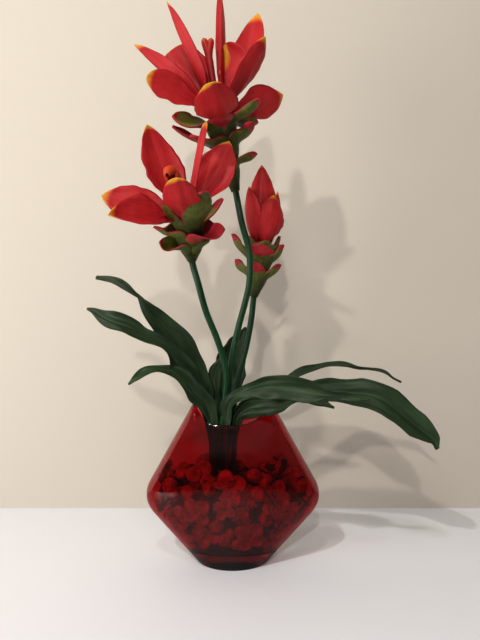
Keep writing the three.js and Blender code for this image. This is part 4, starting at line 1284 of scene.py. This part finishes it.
# blossoms and brown husks on top of the bed, round the stems
husks = []
for k, even in enumerate(evenAngles(mix["husks"])):
    angle = even + chance.uniform(-0.2, 0.2)
    at = onVase(bed["top"] + 7, bedIn + 4, chance.uniform(0.55, 0.9), angle)
    size, spin = chance.uniform(*mix["huskSize"]), chance.uniform(0, 1.5)
    pile = loose["blossoms"] if k % 3 == 0 else husks
    pile += blossomSkins(at, jolted(Vector((0, 0, 1)), 0.5), size, spin, chance)

# the dark seed pod that stands out of the filling at the right
pod = {"stalk": [(40, -16, 84), (47, -18, 96), (54, -19, 110)], "radius": (0.8, 0.8, 0.9, 2.6, 3.0, 2.6)}
podPoints = splinePoints(pod["stalk"], 20)[0]
loose["twigs"].append(rodSkin(podPoints, lambda s: softSpread(pod["radius"], s), 12))

# the bed's dark crumbs also paint the shade in the gaps between the pieces
addPiece("fillerBed", [bedSkin], dried["driedCrumbs"], ["filler_bed"])
addPiece("looseBlossoms", keptInside(loose["blossoms"]), dried["driedBlossom"])
addPiece("looseBerries", keptInside(loose["berries"]), dried["driedBerry"])
addPiece("looseTwigs", keptInside(loose["twigs"]), dried["driedTwig"])
addPiece("looseHusks", keptInside(husks), dried["driedCrumbs"])
print("filling made:", {kind: len(found) for kind, found in loose.items()})


# Stage: a white table, a cream wall behind it, the lamps and the camera
stage = {
    "reach": 2500, "wallAt": 150, "table": "#f0f2fa", "wall": "#c7c0b4",
    "veil": (0.64, 0.84), "veilAt": (100, 500),  # how much darker the vase mirrors the table, near and far
}


# Table: white paint sprayed on board, smooth and satin. The vase mirrors it much darker than it is, and
# more so further off, or the mirror image would veil the glass.
def makeTablePaint():
    material, tree = newMaterial("tablePaint")
    spot = addNode(tree, "TexCoord").outputs["Object"]
    away = addNode(tree, "VectorMath", {"operation": "LENGTH"}, i0=spot).outputs["Value"]
    (near, far), (least, most) = stage["veilAt"], stage["veil"]
    faded = addNode(tree, "MapRange", softRange, Value=away, i1=near * mm, i2=far * mm, i3=least, i4=most)
    ray = addNode(tree, "LightPath").outputs
    mirrored = addNode(tree, "Math", {"operation": "SUBTRACT", "use_clamp": True},
                       i0=ray["Is Glossy Ray"], i1=ray["Is Transmission Ray"])
    share = addNode(tree, "Math", multiplying, i0=mirrored, i1=faded)
    colour = addNode(tree, "Mix", colourMix, i0=share, i6=linear(stage["table"]), i7=linear("#000000"))
    paint = addNode(tree, "BsdfPrincipled", Base_Color=colour.outputs[2], Roughness=0.5)
    addNode(tree, "OutputMaterial", Surface=paint)
    return material


# Wall: emulsion paint rolled on plaster, matt. Its back is open, so that the bouquet can be seen from
# behind too.
def makeWallPaint():
    material, tree = newMaterial("wallPaint")
    paint = addNode(tree, "BsdfPrincipled", Base_Color=linear(stage["wall"]), Roughness=0.8)
    behind = addNode(tree, "NewGeometry").outputs["Backfacing"]
    surface = addNode(tree, "MixShader", i0=behind, i1=paint, i2=addNode(tree, "BsdfTransparent"))
    addNode(tree, "OutputMaterial", Surface=surface)
    return material


def addStage(name, corners, material):
    mesh = bpy.data.meshes.new(name)
    mesh.from_pydata([Vector(c) * mm for c in corners], [], [(0, 1, 2, 3)])
    mesh.materials.append(material)
    plane = bpy.data.objects.new(name, mesh)
    bpy.context.scene.collection.objects.link(plane)
    return plane


far, wallAt = stage["reach"], stage["wallAt"]
addStage("table", [(-far, -far, 0), (far, -far, 0), (far, far, 0), (-far, far, 0)], makeTablePaint())
wall = addStage("wall", [(-far, wallAt, 0), (far, wallAt, 0), (far, wallAt, far), (-far, wallAt, far)],
                makeWallPaint())
wall.visible_shadow = False        # from behind, the table isn't in its shade

lamps = {
    "keyLamp": {"at": (-490, -892, 1190), "aim": (0, 0, 260), "size": 45, "watts": 7, "colour": "#fff8ee"},
    "leftLamp": {"at": (-1300, -700, 250), "aim": (-250, 100, 0), "size": 900, "watts": 14.5,
                 "colour": "#fff9f2"},
    "topLamp": {"at": (-150, -750, 1250), "aim": (0, 0, 0), "size": 140, "watts": 2.6, "colour": "#fffaf4"},
    "frontLamp": {"at": (-140, -1500, 1000), "aim": (0, 0, 150), "size": 60, "watts": 7,
                  "colour": "#fffaf4"},
}
# the lamps other than the key lamp light everything but the vase, or their discs would show in it
allButVase = bpy.data.collections.new("allButVase")
allButVase.objects.link(vasePiece)
allButVase.collection_objects[0].light_linking.link_state = "EXCLUDE"
for name, lamp in lamps.items():
    data = bpy.data.lights.new(name, "AREA")
    data.shape = "DISK"
    data.size = lamp["size"] * mm
    data.energy = lamp["watts"]
    data.color = linear(lamp["colour"])[:3]
    light = bpy.data.objects.new(name, data)
    bpy.context.scene.collection.objects.link(light)
    light.location = Vector(lamp["at"]) * mm
    light.rotation_euler = (Vector(lamp["aim"]) - Vector(lamp["at"])).to_track_quat("-Z", "Y").to_euler()
    light.visible_transmission = name == "keyLamp"
    if name != "keyLamp":
        light.light_linking.receiver_collection = allButVase

# The room is brighter above than round about, so the waves in the glass show as soft streaks. Behind the
# bouquet it is a plain pale backdrop.
room = {"colour": "#f2ebe0", "below": 0.05, "above": 0.22, "backdrop": 0.55}
world = bpy.data.worlds.new("studio")
world.use_nodes = True
sky = world.node_tree
upwards = addNode(sky, "SeparateXYZ", Vector=addNode(sky, "TexCoord").outputs["Generated"]).outputs["Z"]
glow = addNode(sky, "MapRange", softRange, Value=upwards, i1=0.12, i2=0.45, i3=room["below"],
               i4=room["above"])
direct = addNode(sky, "LightPath").outputs["Is Camera Ray"]
seen = addNode(sky, "MapRange", Value=direct, i3=glow, i4=room["backdrop"])
ambient = sky.nodes["Background"].inputs
ambient["Color"].default_value = linear(room["colour"])
sky.links.new(seen.outputs[0], ambient["Strength"])
bpy.context.scene.world = world
bpy.context.scene.view_settings.view_transform = "Standard"

view = {"at": (7.5, -544, 252), "focal": 518, "imageHeight": 640, "sensor": 36}        # mm and pixels
lens = bpy.data.cameras.new("camera")
lens.sensor_width = view["sensor"]
lens.lens = view["sensor"] * view["focal"] / view["imageHeight"]
lens.clip_start = 0.01
camera = bpy.data.objects.new("camera", lens)
bpy.context.scene.collection.objects.link(camera)
camera.location = Vector(view["at"]) * mm
camera.rotation_euler = (math.pi / 2, 0, 0)
bpy.context.scene.camera = camera

print("stage made")
